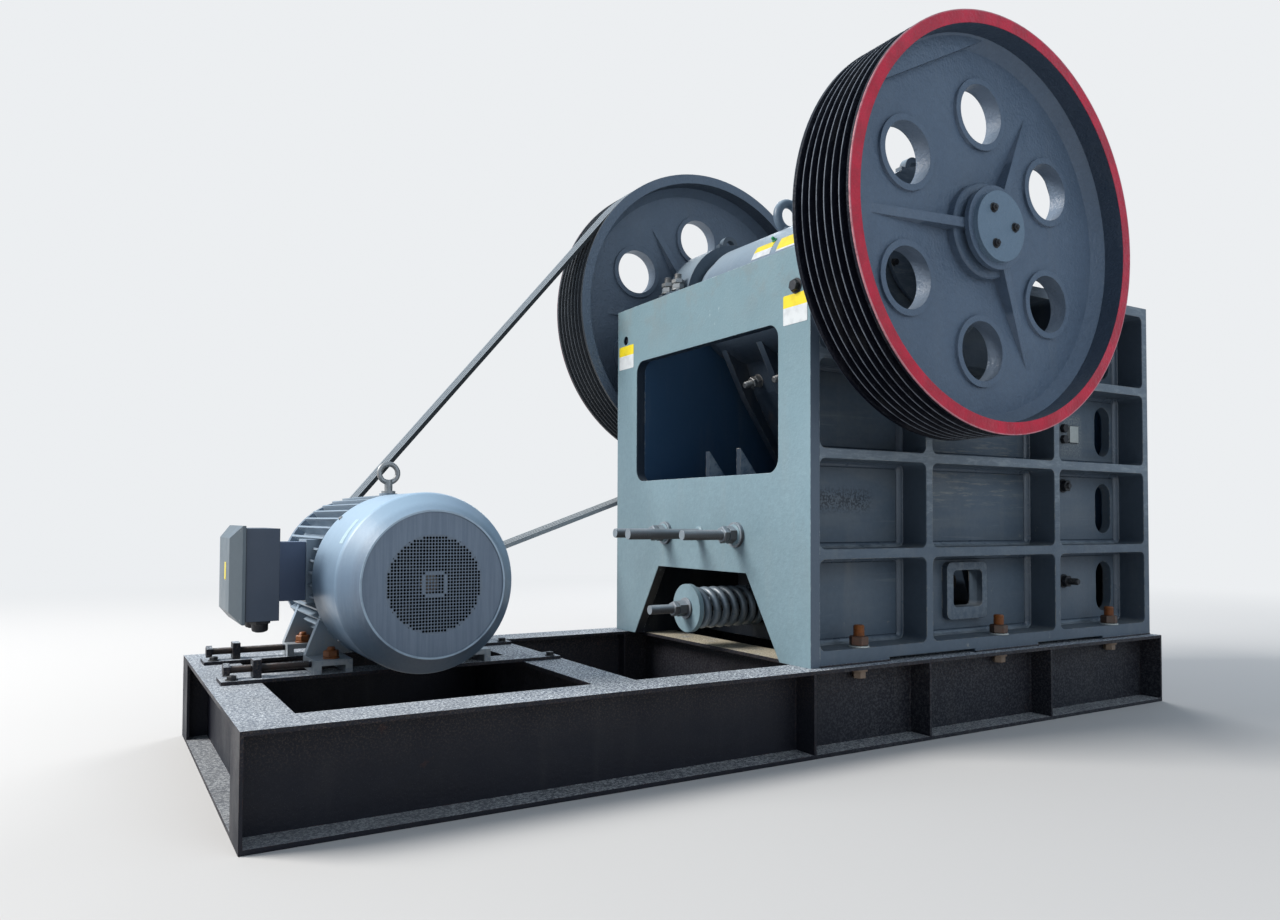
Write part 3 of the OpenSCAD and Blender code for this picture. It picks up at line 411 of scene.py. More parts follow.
def wheel_zones(n):
    """Black grooves with thin bare lands on the rim and a red ring on its outer face; painted shade on the
    inside of the rim, and painted light on the walls of the web's holes, over the far wheel and on the middle
    of the hub cap.
    """
    radius = n.from_axis(SHAFT)
    across = n.math("ABSOLUTE", n.place()[1])
    rim = n.within(radius, low=WHEEL_R - (RIM_T + 2) * MM, blur=0.001)
    web = n.ramp(n.math("ABSOLUTE", n.normal()[1]), 0.25, 0.6)
    # painted shade on the inside of the rim
    shade = n.product(n.within(radius, low=WHEEL_R - (RIM_T + 8) * MM, blur=0.006),
                      n.math("SUBTRACT", 1.0, web))
    n.coat(lin(34, 41, 54), shade, 0.6)
    inside = n.within(across, WHEEL_IN + 0.0015, WHEEL_OUT - 0.0015, 0.0005)
    groove = n.product(inside, n.within(radius, low=WHEEL_R - (GROOVE_D + 2) * MM, blur=0.0005))
    top = n.within(radius, low=WHEEL_R - 0.0014, blur=0.0004)
    land = n.product(top, n.within(across, WHEEL_IN + 0.03, WHEEL_OUT - 0.03))
    near = n.within(n.place()[1], high=0)
    worn = n.product(n.ramp(n.noise(18, 5, 0.6), 0.3, 0.6, 0.35, 1.0), n.ramp(near, 0.0, 1.0, 0.2, 1.0))
    n.coat(lin(13, 15, 25), groove)
    n.coat(lin(106, 112, 122), land, worn)
    n.link(n.ramp(groove, 0.0, 1.0, 0.4, 0.12), n.shader.inputs["Specular IOR Level"])
    ring = n.product(rim, n.within(across, low=WHEEL_OUT - 0.001, blur=0.0005))
    red = n.mix(n.ramp(n.noise(12, 5), 0.35, 0.7), lin(172, 12, 44), lin(200, 24, 58))
    # painted light on the walls of the web's holes
    hole = n.product(n.within(radius, low=HOLE_NEAR, high=HOLE_FAR, blur=0.01), n.math("SUBTRACT", 1.0, web))
    n.coat(lin(138, 152, 170), hole, 0.45)
    # painted light over the far wheel
    far = n.math("SUBTRACT", 1.0, near)
    n.coat(lin(190, 200, 205), far, 0.08)
    # painted light on the middle of the hub cap
    middle = n.product(n.within(radius, high=0.134), n.within(across, low=WHEEL_OUT - 0.045))
    n.coat(lin(140, 170, 190), middle, 0.25)
    n.coat(red, ring)
    rub = n.product(near, n.within(radius, low=WHEEL_R - 0.004, blur=0.0015),
                    n.within(across, low=WHEEL_OUT - 0.005),
                    n.ramp(n.noise(30, 5, 0.6), 0.3, 0.55, 0.4, 1.0))
    n.coat(lin(200, 140, 148), rub, 0.8)


def skid_zones(n):
    """Grey grit lying on the flanges of the black beams, lightened as painted light towards the near end, and
    tinted like sand and lightened as painted sunlight near the rear wall; fine specks and rust on their webs.
    """
    x, y, z = n.place()
    top = n.ramp(n.normal()[2], 0.6, 0.95)
    speckle = n.math("MAXIMUM", n.ramp(n.noise(115, 4, 0.8), 0.49, 0.57, 0.05, 1.0),
                     n.ramp(n.noise(60, 5, 0.8, shift=(3, 1, 0)), 0.58, 0.64))
    patch = n.ramp(n.noise(3, 5, 0.6), 0.25, 0.6, 0.8, 1.0)
    grit = n.mix(speckle, lin(74, 83, 100), lin(230, 236, 240))
    # painted light on the grit towards the near end
    grit = n.mix(n.ramp(x, -1.7, -0.9, 0.3, 0.0), grit, lin(176, 182, 190))
    grit = n.mix(n.product(n.within(z, high=0.03), 0.4), grit, lin(92, 88, 84))
    # sand-coloured grit near the rear wall, lightened as painted sunlight
    sandy_and_sunlit = n.product(n.within(x, REAR_X - 0.22, REAR_X + 0.25), n.within(n.math("ABSOLUTE", y), high=BEAM_IN),
                      n.ramp(n.noise(9, 5, 0.6), 0.2, 0.5))
    grit = n.mix(sandy_and_sunlit, grit, n.mix(speckle, lin(176, 167, 146), lin(226, 218, 196)))
    n.coat(lin(90, 92, 92), n.ramp(n.noise(420, 2, 0.8), 0.62, 0.7), 0.3)
    peppered = n.product(n.ramp(x, REAR_X - 0.2, REAR_X + 0.4), n.ramp(n.noise(110, 4, 0.8), 0.46, 0.6), 0.4)
    n.coat(lin(88, 90, 94), peppered)
    dirt = n.product(n.ramp(z, SKID_TOP - 0.2, SKID_TOP - 0.02), n.ramp(n.noise(150, 4, 0.8), 0.5, 0.6), 0.3)
    n.coat(lin(100, 86, 76), dirt)
    n.coat(grit, top, patch)


def belt_zones(n):
    """Pale backs on the belts, which face along the row's X and Z: dust with a painted sky reflection, paler
    still on the lower run.
    """
    side = n.math("ABSOLUTE", n.normal()[1])
    back = n.ramp(side, 0.2, 0.5, 1.0, 0.0)
    x, _, z = n.place()
    ahead = n.math("MULTIPLY", n.math("SUBTRACT", x, MOTOR.x), SHAFT.z - MOTOR.z)
    over = n.math("MULTIPLY", n.math("SUBTRACT", z, MOTOR.z), SHAFT.x - MOTOR.x)
    lower = n.ramp(n.math("SUBTRACT", ahead, over), 0.0, 0.1)
    # dust and painted sky reflection on the belt backs
    n.coat(lin(126, 135, 143), back, 0.9)
    n.coat(lin(160, 166, 170), lower)


def cowl_zones(n):
    """Fine upright brush marks; painted sky sheen on the drum and on the sloped shoulder's upward faces,
    painted shade under the shoulder and a painted highlight on the face's edge; paler fins and feet; painted
    shade darkening the inside of the cowl.
    """
    _, y, z = n.place()
    up = n.ramp(n.normal()[2], 0.0, 0.9)
    radius = n.from_axis(MOTOR)
    brushed = n.noise(95, 3, 0.6, stretch=(1, 1, 0.035))
    n.coat(lin(138, 152, 166), n.ramp(brushed, 0.35, 0.7, 0.0, 0.22))
    round_side = n.ramp(n.math("ABSOLUTE", n.normal()[1]), 0.5, 0.8, 1.0, 0.0)
    # painted sky sheen on the drum, strongest on its upward faces
    drum = n.product(n.within(radius, low=COWL_R - 0.04, blur=0.01),
                     n.within(y, high=COWL_END + 0.001), round_side)
    n.coat(n.mix(up, lin(98, 122, 144), lin(192, 220, 242)), drum, 0.6)
    # painted light on the sloped shoulder, strongest on its upward faces
    slope = n.product(n.within(radius, low=(COWL_EDGE + 1) * MM, blur=0.001),
                      n.within(y, high=COWL_FACE + 0.095))
    n.coat(lin(136, 162, 188), slope, 0.12)
    n.coat(lin(166, 196, 220), slope, up, 0.55)
    # painted shade under the shoulder
    down = n.ramp(n.normal()[2], -0.7, 0.0, 0.5, 0.0)
    n.coat(lin(46, 52, 60), slope, down)
    # painted highlight on the edge of the cowl's face
    edge = n.product(n.within(radius, (COWL_EDGE - 6) * MM, (COWL_EDGE + 1) * MM, 0.001),
                     n.within(y, high=COWL_FACE + 0.003), n.ramp(n.noise(14, 5, 0.6), 0.3, 0.6, 0.3, 0.8))
    n.coat(lin(168, 188, 204), edge)
    fins = n.within(y, COWL_END + 0.002, MOTOR_Y, 0.01)
    n.coat(lin(164, 182, 196), fins, 0.45)
    feet = n.product(n.within(radius, low=COWL_R + 0.003), n.within(z, high=MOTOR.z - 0.2, blur=0.04),
                     n.ramp(n.noise(60, 5, 0.7), 0.3, 0.55, 0.3, 1.0))
    n.coat(lin(152, 156, 158), feet, 0.85)
    # painted shade darkening the inside of the cowl
    inner = n.product(n.within(radius, high=COWL_R - 0.003, blur=0.001),
                      n.within(y, COWL_FACE + 0.1, COWL_END - 0.03), round_side)
    n.coat(lin(14, 16, 20), inner)


def neck_zones(n):
    """Painted light on the neck between the terminal box and the motor, which lies in shadow, makes it paler
    than the box.
    """
    neck = n.within(n.place()[0], low=BOX_X + TERMINAL_D * MM + 0.003)
    n.coat(lin(82, 98, 126), neck, 0.9)


def rod_zones(n):
    """The threaded rods are pale above, with a painted brown reflection of the ground and painted shade
    underneath.
    """
    x, y, _ = n.normal()
    side = n.math("ABSOLUTE", x)
    # painted brown reflection of the ground and painted shade on the undersides
    under = n.product(n.ramp(n.normal()[2], 0.0, 0.7, 1.0, 0.0), n.ramp(side, 0.6, 0.9, 1.0, 0.0))
    n.coat(lin(62, 55, 52), under, 0.85)


BODY = paint("body_paint", lin(78, 91, 104), wear=0.8, soft=0.006, gloss=0.3, zones=body_zones)
SEAM = paint("fillet_paint", lin(72, 84, 97), rough=0.3, wear=0.0, soft=0.003, streaks=0.04, gloss=0.5,
             zones=seam_zones)
CHALKED = paint("chalked_paint", lin(172, 178, 176), wear=0.3)
SKID = paint("skid_paint", lin(24, 25, 33), rough=0.5, dust=0.15, wear=0.2, chips=RUST, streaks=0.03, gloss=0.2,
             zones=skid_zones)
# The rear wall paint is the body paint lightened as painted sunlight; the spring plate and the rod washers
# share it.
SUNLIT_WALL_PAINT = paint("wall_paint", lin(123, 147, 157), dust=0.2, wear=0.8, chips=lin(190, 204, 208), soft=0.004,
             zones=wall_zones)
WHEEL = paint("wheel_paint", lin(82, 98, 117), dust=0.25, wear=0.2, peel=0.8, chips=lin(118, 128, 140),
              streaks=0.05, zones=wheel_zones)
JAW = paint("jaw_paint", lin(90, 106, 122), zones=jaw_zones)
MOTOR_PAINT = paint("motor_paint", lin(96, 110, 127), rough=0.38, dust=0.05, wear=0.1, peel=0.08, spread=0.04,
                    soft=0.0015, streaks=0.03, zones=cowl_zones)
# The terminal box takes the motor paint darkened as painted shade.
MOTOR_SHADED = paint("terminal_shaded_paint", lin(58, 68, 83), dust=0.1, wear=0.1, peel=0.08, spread=0.04, streaks=0.04,
                   zones=neck_zones)
LID = paint("lid_paint", lin(91, 101, 108), dust=0.1, wear=0.1, peel=0.08, spread=0.04, streaks=0.04)
GRILLE = paint("grille_black", lin(100, 112, 126), rough=0.4, dust=0, wear=0, peel=0.05)
STEEL = bare("raw_steel", lin(120, 114, 108))
SPRING = paint("spring_steel", lin(112, 126, 138), rough=0.3, wear=0.3, dust=0.2, gloss=0.8)
MANGANESE = bare("manganese", lin(92, 88, 84), rust=0.6, metal=0.5)
BELT = paint("belt_rubber", lin(58, 62, 65), rough=0.75, dust=0, wear=0, peel=0.02, spread=0.03, streaks=0.0,
             soft=0.0, gloss=0.2, zones=belt_zones)
IRON = paint("pulley_iron", lin(40, 42, 46), rough=0.55)
PLASTIC = paint("fan_plastic", lin(12, 12, 14), dust=0, wear=0, gloss=0.1)
RUSTY = bare("rusty_bolts", lin(84, 68, 58), rust=0.6, metal=0.3)
ORANGE = bare("rusty_studs", lin(140, 80, 30), rust=0.5, metal=0.1)
PLATED = bare("plated_steel", lin(160, 162, 162), rust=0.18, metal=0.7)
ROD = bare("threaded_rod", lin(156, 166, 174), rough=0.4, rust=0.15, metal=0.35, zones=rod_zones)
THREAD = bare("oiled_thread", lin(70, 62, 56), rust=0.4, metal=0.5)
BLACK = paint("black_fasteners", lin(28, 28, 32), rough=0.5, dust=0.1, wear=0.2)
BEIGE = paint("dusty_heads", lin(128, 110, 94), wear=0.3, chips=RUST)
YELLOW = film("yellow_film", lin(226, 204, 30))
WHITE = film("white_film", lin(206, 210, 212))
GREEN = film("green_plastic", lin(40, 140, 90))
CYAN = film("cyan_film", lin(186, 210, 214))

FINISH = {
    "skid_paint": SKID, "body_paint": BODY, "wall_paint": SUNLIT_WALL_PAINT, "wheel_paint": WHEEL, "cap_paint": WHEEL,
    "jaw_paint": JAW, "manganese": MANGANESE, "raw_steel": STEEL, "spring_steel": SPRING,
    "motor_paint": MOTOR_PAINT, "grille_black": GRILLE, "fan_plastic": PLASTIC, "pulley_iron": IRON,
    "belt_rubber": BELT,
}

# Nodes whose own finish differs from the others of their slot
OWN_FINISH = {
    "adjusting_rods": ROD, "jack_screw": ROD, "tension_rod": ROD, "spring_plate": SUNLIT_WALL_PAINT,
    "terminal_box": MOTOR_SHADED, "terminal_box_lid": LID, "motor_eye": PLATED,
}

for part in frame["record"]["subparts"]:
    obj = nodes[part["node"]]
    obj.data.materials.clear()
    obj.data.materials.append(OWN_FINISH.get(part["node"], FINISH[part["material_slot"]]))


# Mesh building

def body_point(x, y, z):
    """Point given from the rear wall, the middle and the skid's top, in millimetres."""
    return Vector((REAR_X + x * MM, y * MM, SKID_TOP + z * MM))


def facing(point, along, turn=0.0):
    """Matrix at a point in metres whose Z axis runs along a direction."""
    turned = Vector(along).to_track_quat("Z", "Y").to_matrix().to_4x4()
    return Matrix.Translation(point) @ turned @ Matrix.Rotation(math.radians(turn), 4, "Z")


def upright(point, along):
    """The same place with its Y axis turned upright."""
    place = facing(point, along)
    flat = place.to_3x3()
    return place @ Matrix.Rotation(math.atan2(-(flat @ X).z, (flat @ Y).z), 4, "Z")


def polar(centre, radius, degrees, y):
    """Point round a line along Y: radius in millimetres, angle from +X upward, y in metres."""
    a = math.radians(degrees)
    return Vector((centre.x + radius * MM * math.cos(a), y, centre.z + radius * MM * math.sin(a)))


def round_corner(x, y, start, radius, step, count):
    """Points of a corner's arc about its centre, from a start angle in degrees."""
    angles = [math.radians(start + step * m) for m in range(count)]
    return [(x + radius * math.cos(a), y + radius * math.sin(a)) for a in angles]


class Piece:
    """A mesh made of turned, extruded, swept and boxed forms, sized in millimetres."""

    def __init__(self):
        self.mesh = bmesh.new()
        self.paint = 0

    def skin(self, a, b, closed=True):
        """Faces between two rows of points; a row of one point makes a fan."""
        count = max(len(a), len(b))
        for k in range(count if closed else count - 1):
            m = (k + 1) % count
            corners = dict.fromkeys((a[k % len(a)], a[m % len(a)], b[m % len(b)], b[k % len(b)]))
            self.mesh.faces.new(tuple(corners)).material_index = self.paint

    def ring(self, place, radius, height, steps):
        """One circle of points, or one point where the radius is zero."""
        angles = [2 * math.pi * k / steps for k in range(steps if radius else 1)]
        return [self.mesh.verts.new(place @ (Vector((radius * math.cos(a), radius * math.sin(a), height)) * MM))
                for a in angles]

    def turned(self, place, outline, steps=20):
        """Revolves an outline of (radius, height) that starts and ends on the axis."""
        rings = [self.ring(place, r, h, steps) for r, h in outline]
        for a, b in zip(rings, rings[1:]):
            self.skin(a, b)

    def washer(self, place, radius, thick, start=0.0):
        self.turned(place, [(0, start), (radius - 1, start), (radius, start + 1), (radius, start + thick - 1),
                            (radius - 1, start + thick), (0, start + thick)], 28)

    def nut(self, place, radius, thick, start=0.0):
        """Six-sided nut or bolt head with chamfered corners."""
        c = 0.1 * radius
        self.turned(place, [(0, start), (radius - c, start), (radius, start + c),
                            (radius, start + thick - c), (radius - c, start + thick), (0, start + thick)], 6)

    def thread(self, place, radius, start, end, pitch=4.0):
        """Threaded rod with a chamfered tip."""
        outline = [(0, start), (radius * 0.92, start)]
        for k in range(max(1, round((end - start) / pitch) - 1)):
            outline += [(radius, start + pitch * (k + 0.5)), (radius * 0.9, start + pitch * (k + 1))]
        self.turned(place, outline + [(radius * 0.75, end), (0, end)], 18)

    def bolt(self, place, radius, tip, washer=0.0, double=False):
        """Stud with its nut, a second nut if double, and a washer of the given radius."""
        base = 0.0
        if washer:
            self.washer(place, washer, 6)
            base = 6
        self.nut(place, radius * 1.8, radius * 1.5, base)
        if double:
            self.nut(place @ Matrix.Rotation(0.4, 4, "Z"), radius * 1.8, radius * 1.2, base + radius * 1.6)
        self.thread(place, radius, base + radius, tip)

    def block(self, place, size, bevel=1.5):
        """Box with rounded edges, centred on its place."""
        scale = Matrix.Diagonal((*(s * MM for s in size), 1))
        made = bmesh.ops.create_cube(self.mesh, size=1, matrix=place @ scale)
        edges = {e for v in made["verts"] for e in v.link_edges}
        for face in {f for v in made["verts"] for f in v.link_faces}:
            face.material_index = self.paint
        bmesh.ops.bevel(self.mesh, geom=list(edges), offset=bevel * MM, segments=2, affect="EDGES", profile=0.5)

    def prism(self, *outlines):
        """Closed form between two outlines of points in metres."""
        rings = [[self.mesh.verts.new(p) for p in outline] for outline in outlines]
        self.skin(*rings)
        for ring in rings:
            self.mesh.faces.new(ring).material_index = self.paint

    def swept(self, points, section, closed=False):
        """Closed section carried along points; section(k) gives the points of the k-th ring."""
        rings = [[self.mesh.verts.new(p) for p in section(k)] for k in range(len(points))]
        for a, b in zip(rings, rings[1:] + (rings[:1] if closed else [])):
            self.skin(a, b)
        if not closed:
            self.mesh.faces.new(rings[0])
            self.mesh.faces.new(rings[-1])

    def tube(self, points, radius, normal, sides=8, closed=False):
        """Round bar through points that lie roughly square to a normal."""
        last = len(points) - 1

        def section(k):
            before = points[k - 1 if k or closed else k]
            after = points[(k + 1) % len(points) if k < last or closed else k]
            side = (after - before).normalized().cross(normal).normalized()
            size = (radius(k) if callable(radius) else radius) * MM
            angles = [2 * math.pi * m / sides for m in range(sides)]
            return [points[k] + size * (side * math.cos(a) + normal * math.sin(a)) for a in angles]
        self.swept(points, section, closed)

    def bead(self, start, end, radius, normal):
        """Weld bead in a corner, rippled along its length."""
        steps = max(4, round((end - start).length / (9 * MM)))
        points = [start.lerp(end, k / steps) for k in range(steps + 1)]
        self.tube(points, lambda k: radius * (1.0 if k % 2 else 0.84), normal, 6)

    def fillet(self, points, inward, out, size, arc=5):
        """Concave fillet along a closed line, between a floor and the wall that stands on it."""
        def section(k):
            p, n = points[k], inward[k]
            centre = p + (n + out) * size * MM
            bend = [math.radians(90 * m / arc) for m in range(arc + 1)]
            return [p] + [centre - (n * math.cos(a) + out * math.sin(a)) * size * MM for a in bend]
        self.swept(points, section, closed=True)

    def plate(self, place, width, height, thick, radius=4.0, top_share=0.0):
        """Thin plate with round corners; the share at its top takes the second material."""
        cut = height * (0.5 - top_share)
        x, y = width / 2 - radius, height / 2 - radius
        corners = ((x, y, 0), (-x, y, 90), (-x, -y, 180), (x, -y, 270))
        arcs = [round_corner(*corner, radius, 30, 4) for corner in corners]
        top = [(width / 2, cut)] + arcs[0] + arcs[1] + [(-width / 2, cut)]
        low = [(-width / 2, cut)] + arcs[2] + arcs[3] + [(width / 2, cut)]
        for outline, self.paint in ((top, 1), (low, 0)):
            self.prism(*([place @ (Vector((x, y, z)) * MM) for x, y in outline] for z in (0, thick)))

    def done(self, name, body, *materials, slot=None, sharp=35):
        """Links the mesh as a piece that rides on a body."""
        bmesh.ops.recalc_face_normals(self.mesh, faces=self.mesh.faces)
        data = bpy.data.meshes.new(name)
        self.mesh.to_mesh(data)
        self.mesh.free()
        for material in materials:
            data.materials.append(material)
        for face in data.polygons:
            face.use_smooth = True
        data.set_sharp_from_angle(angle=math.radians(sharp))
        obj = bpy.data.objects.new(name, data)
        bpy.context.scene.collection.objects.link(obj)
        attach(obj, body)
        return obj


BODY_L = (FRONT_X - REAR_X) / MM
BODY_H = (BODY_TOP - SKID_TOP) / MM
PLATE_Y = WALL_Y / MM - RIB_DEPTH
SHAFT_X = (SHAFT.x - REAR_X) / MM
SHAFT_Z = (SHAFT.z - SKID_TOP) / MM
SIDES = (("near", -1), ("far", 1))


# Crusher body

def anchor_bolts(name, side):
    """Rusty bolts through the foot flange and the skid's flange, one over each pad."""
    piece = Piece()
    reach, flange_top, flange_t = WALL_Y / MM - 30, 60, 14
    for share in (0.135, 0.513, 0.879):
        x = share * BODY_L - 22
        top = facing(body_point(x, side * reach, flange_top), Z, 20 * share)
        piece.paint = 0
        piece.nut(top, 37, 36, 6)
        piece.paint = 1
        piece.thread(top, 22, 36, 84, 5)
        piece.paint = 2
        piece.washer(top, 40, 6)
        piece.paint = 3
        low = facing(body_point(x, side * reach, -flange_t), -Z)
        piece.washer(low, 33, 18)
        piece.nut(low, 26, 26, 18)
    piece.done(f"anchor_bolts_{name}", "crusher", RUSTY, ORANGE, CHALKED, BEIGE)


def cap_bolts(name, side):
    """Stud bolts on the flanges of a bearing cap."""
    piece = Piece()
    top = (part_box(f"bearing_cap_{name}")[0].z - SKID_TOP) / MM + 60
    for x in (-350, 350):
        for y in (585, 680):
            place = facing(body_point(SHAFT_X + x, side * y, top), Z, x)
            piece.bolt(place, 18, 86, washer=34, double=True)
    piece.done(f"cap_bolts_{name}", "crusher", PLATED)


def cover_bolts(name, side):
    """Bolt heads round a bearing cover."""
    piece = Piece()
    y = side * (WALL_Y + 28 * MM)
    for k in range(8):
        place = facing(polar(SHAFT, 234, 45 * k + 22.5, y), side * Y)
        piece.washer(place, 17, 3)
        piece.nut(place, 13, 12, 3)
    piece.done(f"cover_bolts_{name}", "crusher", BLACK)


def cheek_bolts(name, side):
    """Bolt ends of the cheek plates outside a side wall, and the plate round two of them."""
    piece = Piece()
    x, y = BODY_L - 455, side * PLATE_Y
    for z, tip in ((711, 40), (262, 80)):
        piece.bolt(facing(body_point(x, y, z), side * Y), 16, tip, washer=32)
    for z in (932, 984):
        piece.nut(facing(body_point(x + 4, y, z), side * Y), 22, 20)
    # the plate takes the pale chalked paint, which also stands in for a painted sun highlight on it
    piece.paint = 1
    piece.block(upright(body_point(x + 75, y, 958), side * Y), (70, 82, 24), 2)
    piece.done(f"cheek_bolts_{name}", "crusher", BLACK, CHALKED)


def inner_cheek_bolts():
    """Countersunk heads that hold the cheek plates beside the chamber."""
    piece = Piece()
    face = (INNER_Y - 48 * MM) / MM
    for _, side in SIDES:
        for z, x in ((360, 1560), (820, 1480), (1240, 1330), (1240, 1600)):
            place = facing(body_point(x, side * face, z), -side * Y)
            piece.turned(place, [(0, -2), (30, -2), (30, 1), (24, 3), (0, 3)])
    piece.done("cheek_plate_heads", "crusher", MANGANESE, slot="manganese")


def wall_bolts():
    """Bolt head in the near hole at the top of the rear wall, and a pin in the far one."""
    piece = Piece()
    y, z = WALL_Y / MM - 78, BODY_H - 153
    near = facing(body_point(0, -y, z), -X, 12)
    piece.washer(near, 30, 4)
    piece.nut(near, 24, 17, 4)
    piece.turned(facing(body_point(34, y, z), -X), [(0, 0), (21, 0), (21, 8), (12, 12), (12, 24), (0, 24)])
    piece.done("rear_wall_bolts", "crusher", BLACK)


def pocket_line(left, right, low, high):
    """Outline of one side pocket, from the rear and the skid, with the bearing seat cut out of it."""
    left, right, low, high = left + POCKET_R, right - POCKET_R, low + POCKET_R, high - POCKET_R
    line = []
    for corner in ((right, low, -90), (right, high, 0), (left, high, 90), (left, low, 180)):
        line += round_corner(*corner, POCKET_R, 15, 7)
    dense = []
    for (x0, z0), (x1, z1) in zip(line, line[1:] + line[:1]):
        steps = max(1, round(math.hypot(x1 - x0, z1 - z0) / 25))
        dense += [(x0 + (x1 - x0) * k / steps, z0 + (z1 - z0) * k / steps) for k in range(steps)]
    clear = []
    for x, z in dense:
        away = math.hypot(x - SHAFT_X, z - SHAFT_Z)
        if away < SADDLE_R:
            x, z = (SHAFT_X + (x - SHAFT_X) * SADDLE_R / away, SHAFT_Z + (z - SHAFT_Z) * SADDLE_R / away)
        clear.append((x, z))
    return clear


def pocket_fillets(name, side):
    """Rounded weld metal where the side ribs stand on the side plate."""
    piece = Piece()
    rib_t, level_t, end_t = 36, 38, 45
    ups = [end_t, 0.2834 * BODY_L, 0.6639 * BODY_L, BODY_L - 39]
    levels = [60, 0.2519 * BODY_H, 0.4911 * BODY_H, 0.7278 * BODY_H, BODY_H - end_t]
    for c in range(3):
        for r in range(4):
            line = pocket_line(ups[c] + (rib_t if c else 0), ups[c + 1],
                               levels[r] + (level_t if r else 0), levels[r + 1])
            points = [body_point(x, side * PLATE_Y, z) for x, z in line]
            inward = []
            for k in range(len(points)):
                along = points[(k + 1) % len(points)] - points[k - 1]
                inward.append(Vector((-along.z, 0, along.x)).normalized())
            piece.fillet(points, inward, side * Y, 22)
    piece.done(f"pocket_fillets_{name}", "crusher", SEAM, slot="body_paint", sharp=60)


def pad_welds(name, side):
    """One weld bead along the outer side of each foot pad."""
    piece = Piece()
    y = side * WALL_Y / MM
    for start, end in ((0.02, 0.1865), (0.4163, 0.6061), (0.8242, 0.999)):
        piece.bead(body_point(start * BODY_L, y, 3), body_point(end * BODY_L, y, 3), 5, Z)
    piece.done(f"pad_welds_{name}", "crusher", SKID, slot="skid_paint")


def labels():
    """Blank two-tone labels on the rear wall."""
    rear = Piece()
    for _, side in SIDES:
        place = upright(body_point(0, side * (WALL_Y / MM - 85), 1343), -X)
        rear.plate(place, 138, 114, 1.2, 5, 0.42)
    rear.done("rear_labels", "crusher", WHITE, YELLOW)


# Rods, spring and toggle gear

def rod_threads():
    """Threads, lock nuts and rounded washers on the adjusting rods."""
    piece = Piece()
    washers = Piece()
    z = SKID_TOP + 483 * MM
    for _, side in SIDES:
        place = facing(Vector((REAR_X, side * 268 * MM, z)), -X)
        piece.thread(place, 21, 50, 266, 5)
        piece.nut(place @ Matrix.Rotation(0.3, 4, "Z"), 36, 26, 52)
        washers.turned(place, [(0, 13.5), (44, 13.5), (42, 17), (34, 20), (0, 20)])
    piece.done("adjusting_rod_threads", "crusher", ROD, slot="raw_steel")
    jack = Piece()
    place = facing(Vector((REAR_X, 0, z)), -X)
    washers.turned(place, [(0, -1), (34, -1), (34, 3), (30, 8), (24, 10), (0, 10)])
    washers.done("rod_washers", "crusher", SUNLIT_WALL_PAINT, slot="wall_paint")
    jack.thread(place, 23, 250, 356, 5)
    jack.done("jack_screw_thread", "crusher", ROD, slot="raw_steel")


def tension_gear():
    """Threaded end and lock nut of the tension rod, with a rounded washer."""
    piece = Piece()
    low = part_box("tension_rod")[0]
    place = facing(Vector((REAR_X, 0, middle("spring_plate").z)), -X)
    piece.thread(place, 20, 112, (REAR_X - low.x) / MM - 1, 5)
    piece.nut(place @ Matrix.Rotation(0.35, 4, "Z"), 33, 24, 114)
    piece.washer(place, 46, 8, 66)
    piece.done("tension_rod_thread", "crusher", ROD, slot="raw_steel")


def smooth_spring():
    """Round-wire spring in place of the faceted one."""
    low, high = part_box("tension_spring")
    wire, turns, steps = 16, 7, 30
    centre = (low + high) / 2
    radius = (high.z - low.z) / 2 - wire * MM
    length = high.x - low.x - 2 * wire * MM
    points = []
    for k in range(turns * steps + 1):
        a = 2 * math.pi * k / steps
        points.append(Vector((low.x + wire * MM + length * k / (turns * steps), radius * math.cos(a),
                              centre.z + radius * math.sin(a))))
    piece = Piece()
    sides = 14

    def section(k):
        p = points[k]
        out = Vector((0, p.y, p.z - centre.z)).normalized()
        ahead = (points[min(k + 1, len(points) - 1)] - points[max(k - 1, 0)]).normalized()
        across = ahead.cross(out)
        angles = [2 * math.pi * m / sides for m in range(sides)]
        return [p + wire * MM * (out * math.cos(a) + across * math.sin(a)) for a in angles]
    piece.swept(points, section)
    obj = piece.done("tension_spring_coil", "crusher", SPRING, slot="spring_steel")
    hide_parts("tension_spring")


# Swing jaw

def jaw_place(n, y, u, along):
    """Place on the swing jaw: n in front of the eccentric and u above it, square to the jaw plate."""
    forward = Vector((math.cos(JAW_LEAN), 0, math.sin(JAW_LEAN)))
    upward = Vector((-math.sin(JAW_LEAN), 0, math.cos(JAW_LEAN)))
    point = ECCENTRIC + (forward * n + upward * u) * MM + Y * y * MM
    return facing(point, forward * along[0] + upward * along[1])


def jaw_bolts():
    """Studs with double nuts through the jaw's back plate, which hold its toothed plate."""
    piece = Piece()
    for y in (-339, -113, 113, 339):
        piece.bolt(jaw_place(-158, y, -354, (-1, 0)), 17, 98, washer=34, double=True)
    piece.done("jaw_plate_bolts", "jaw", PLATED)


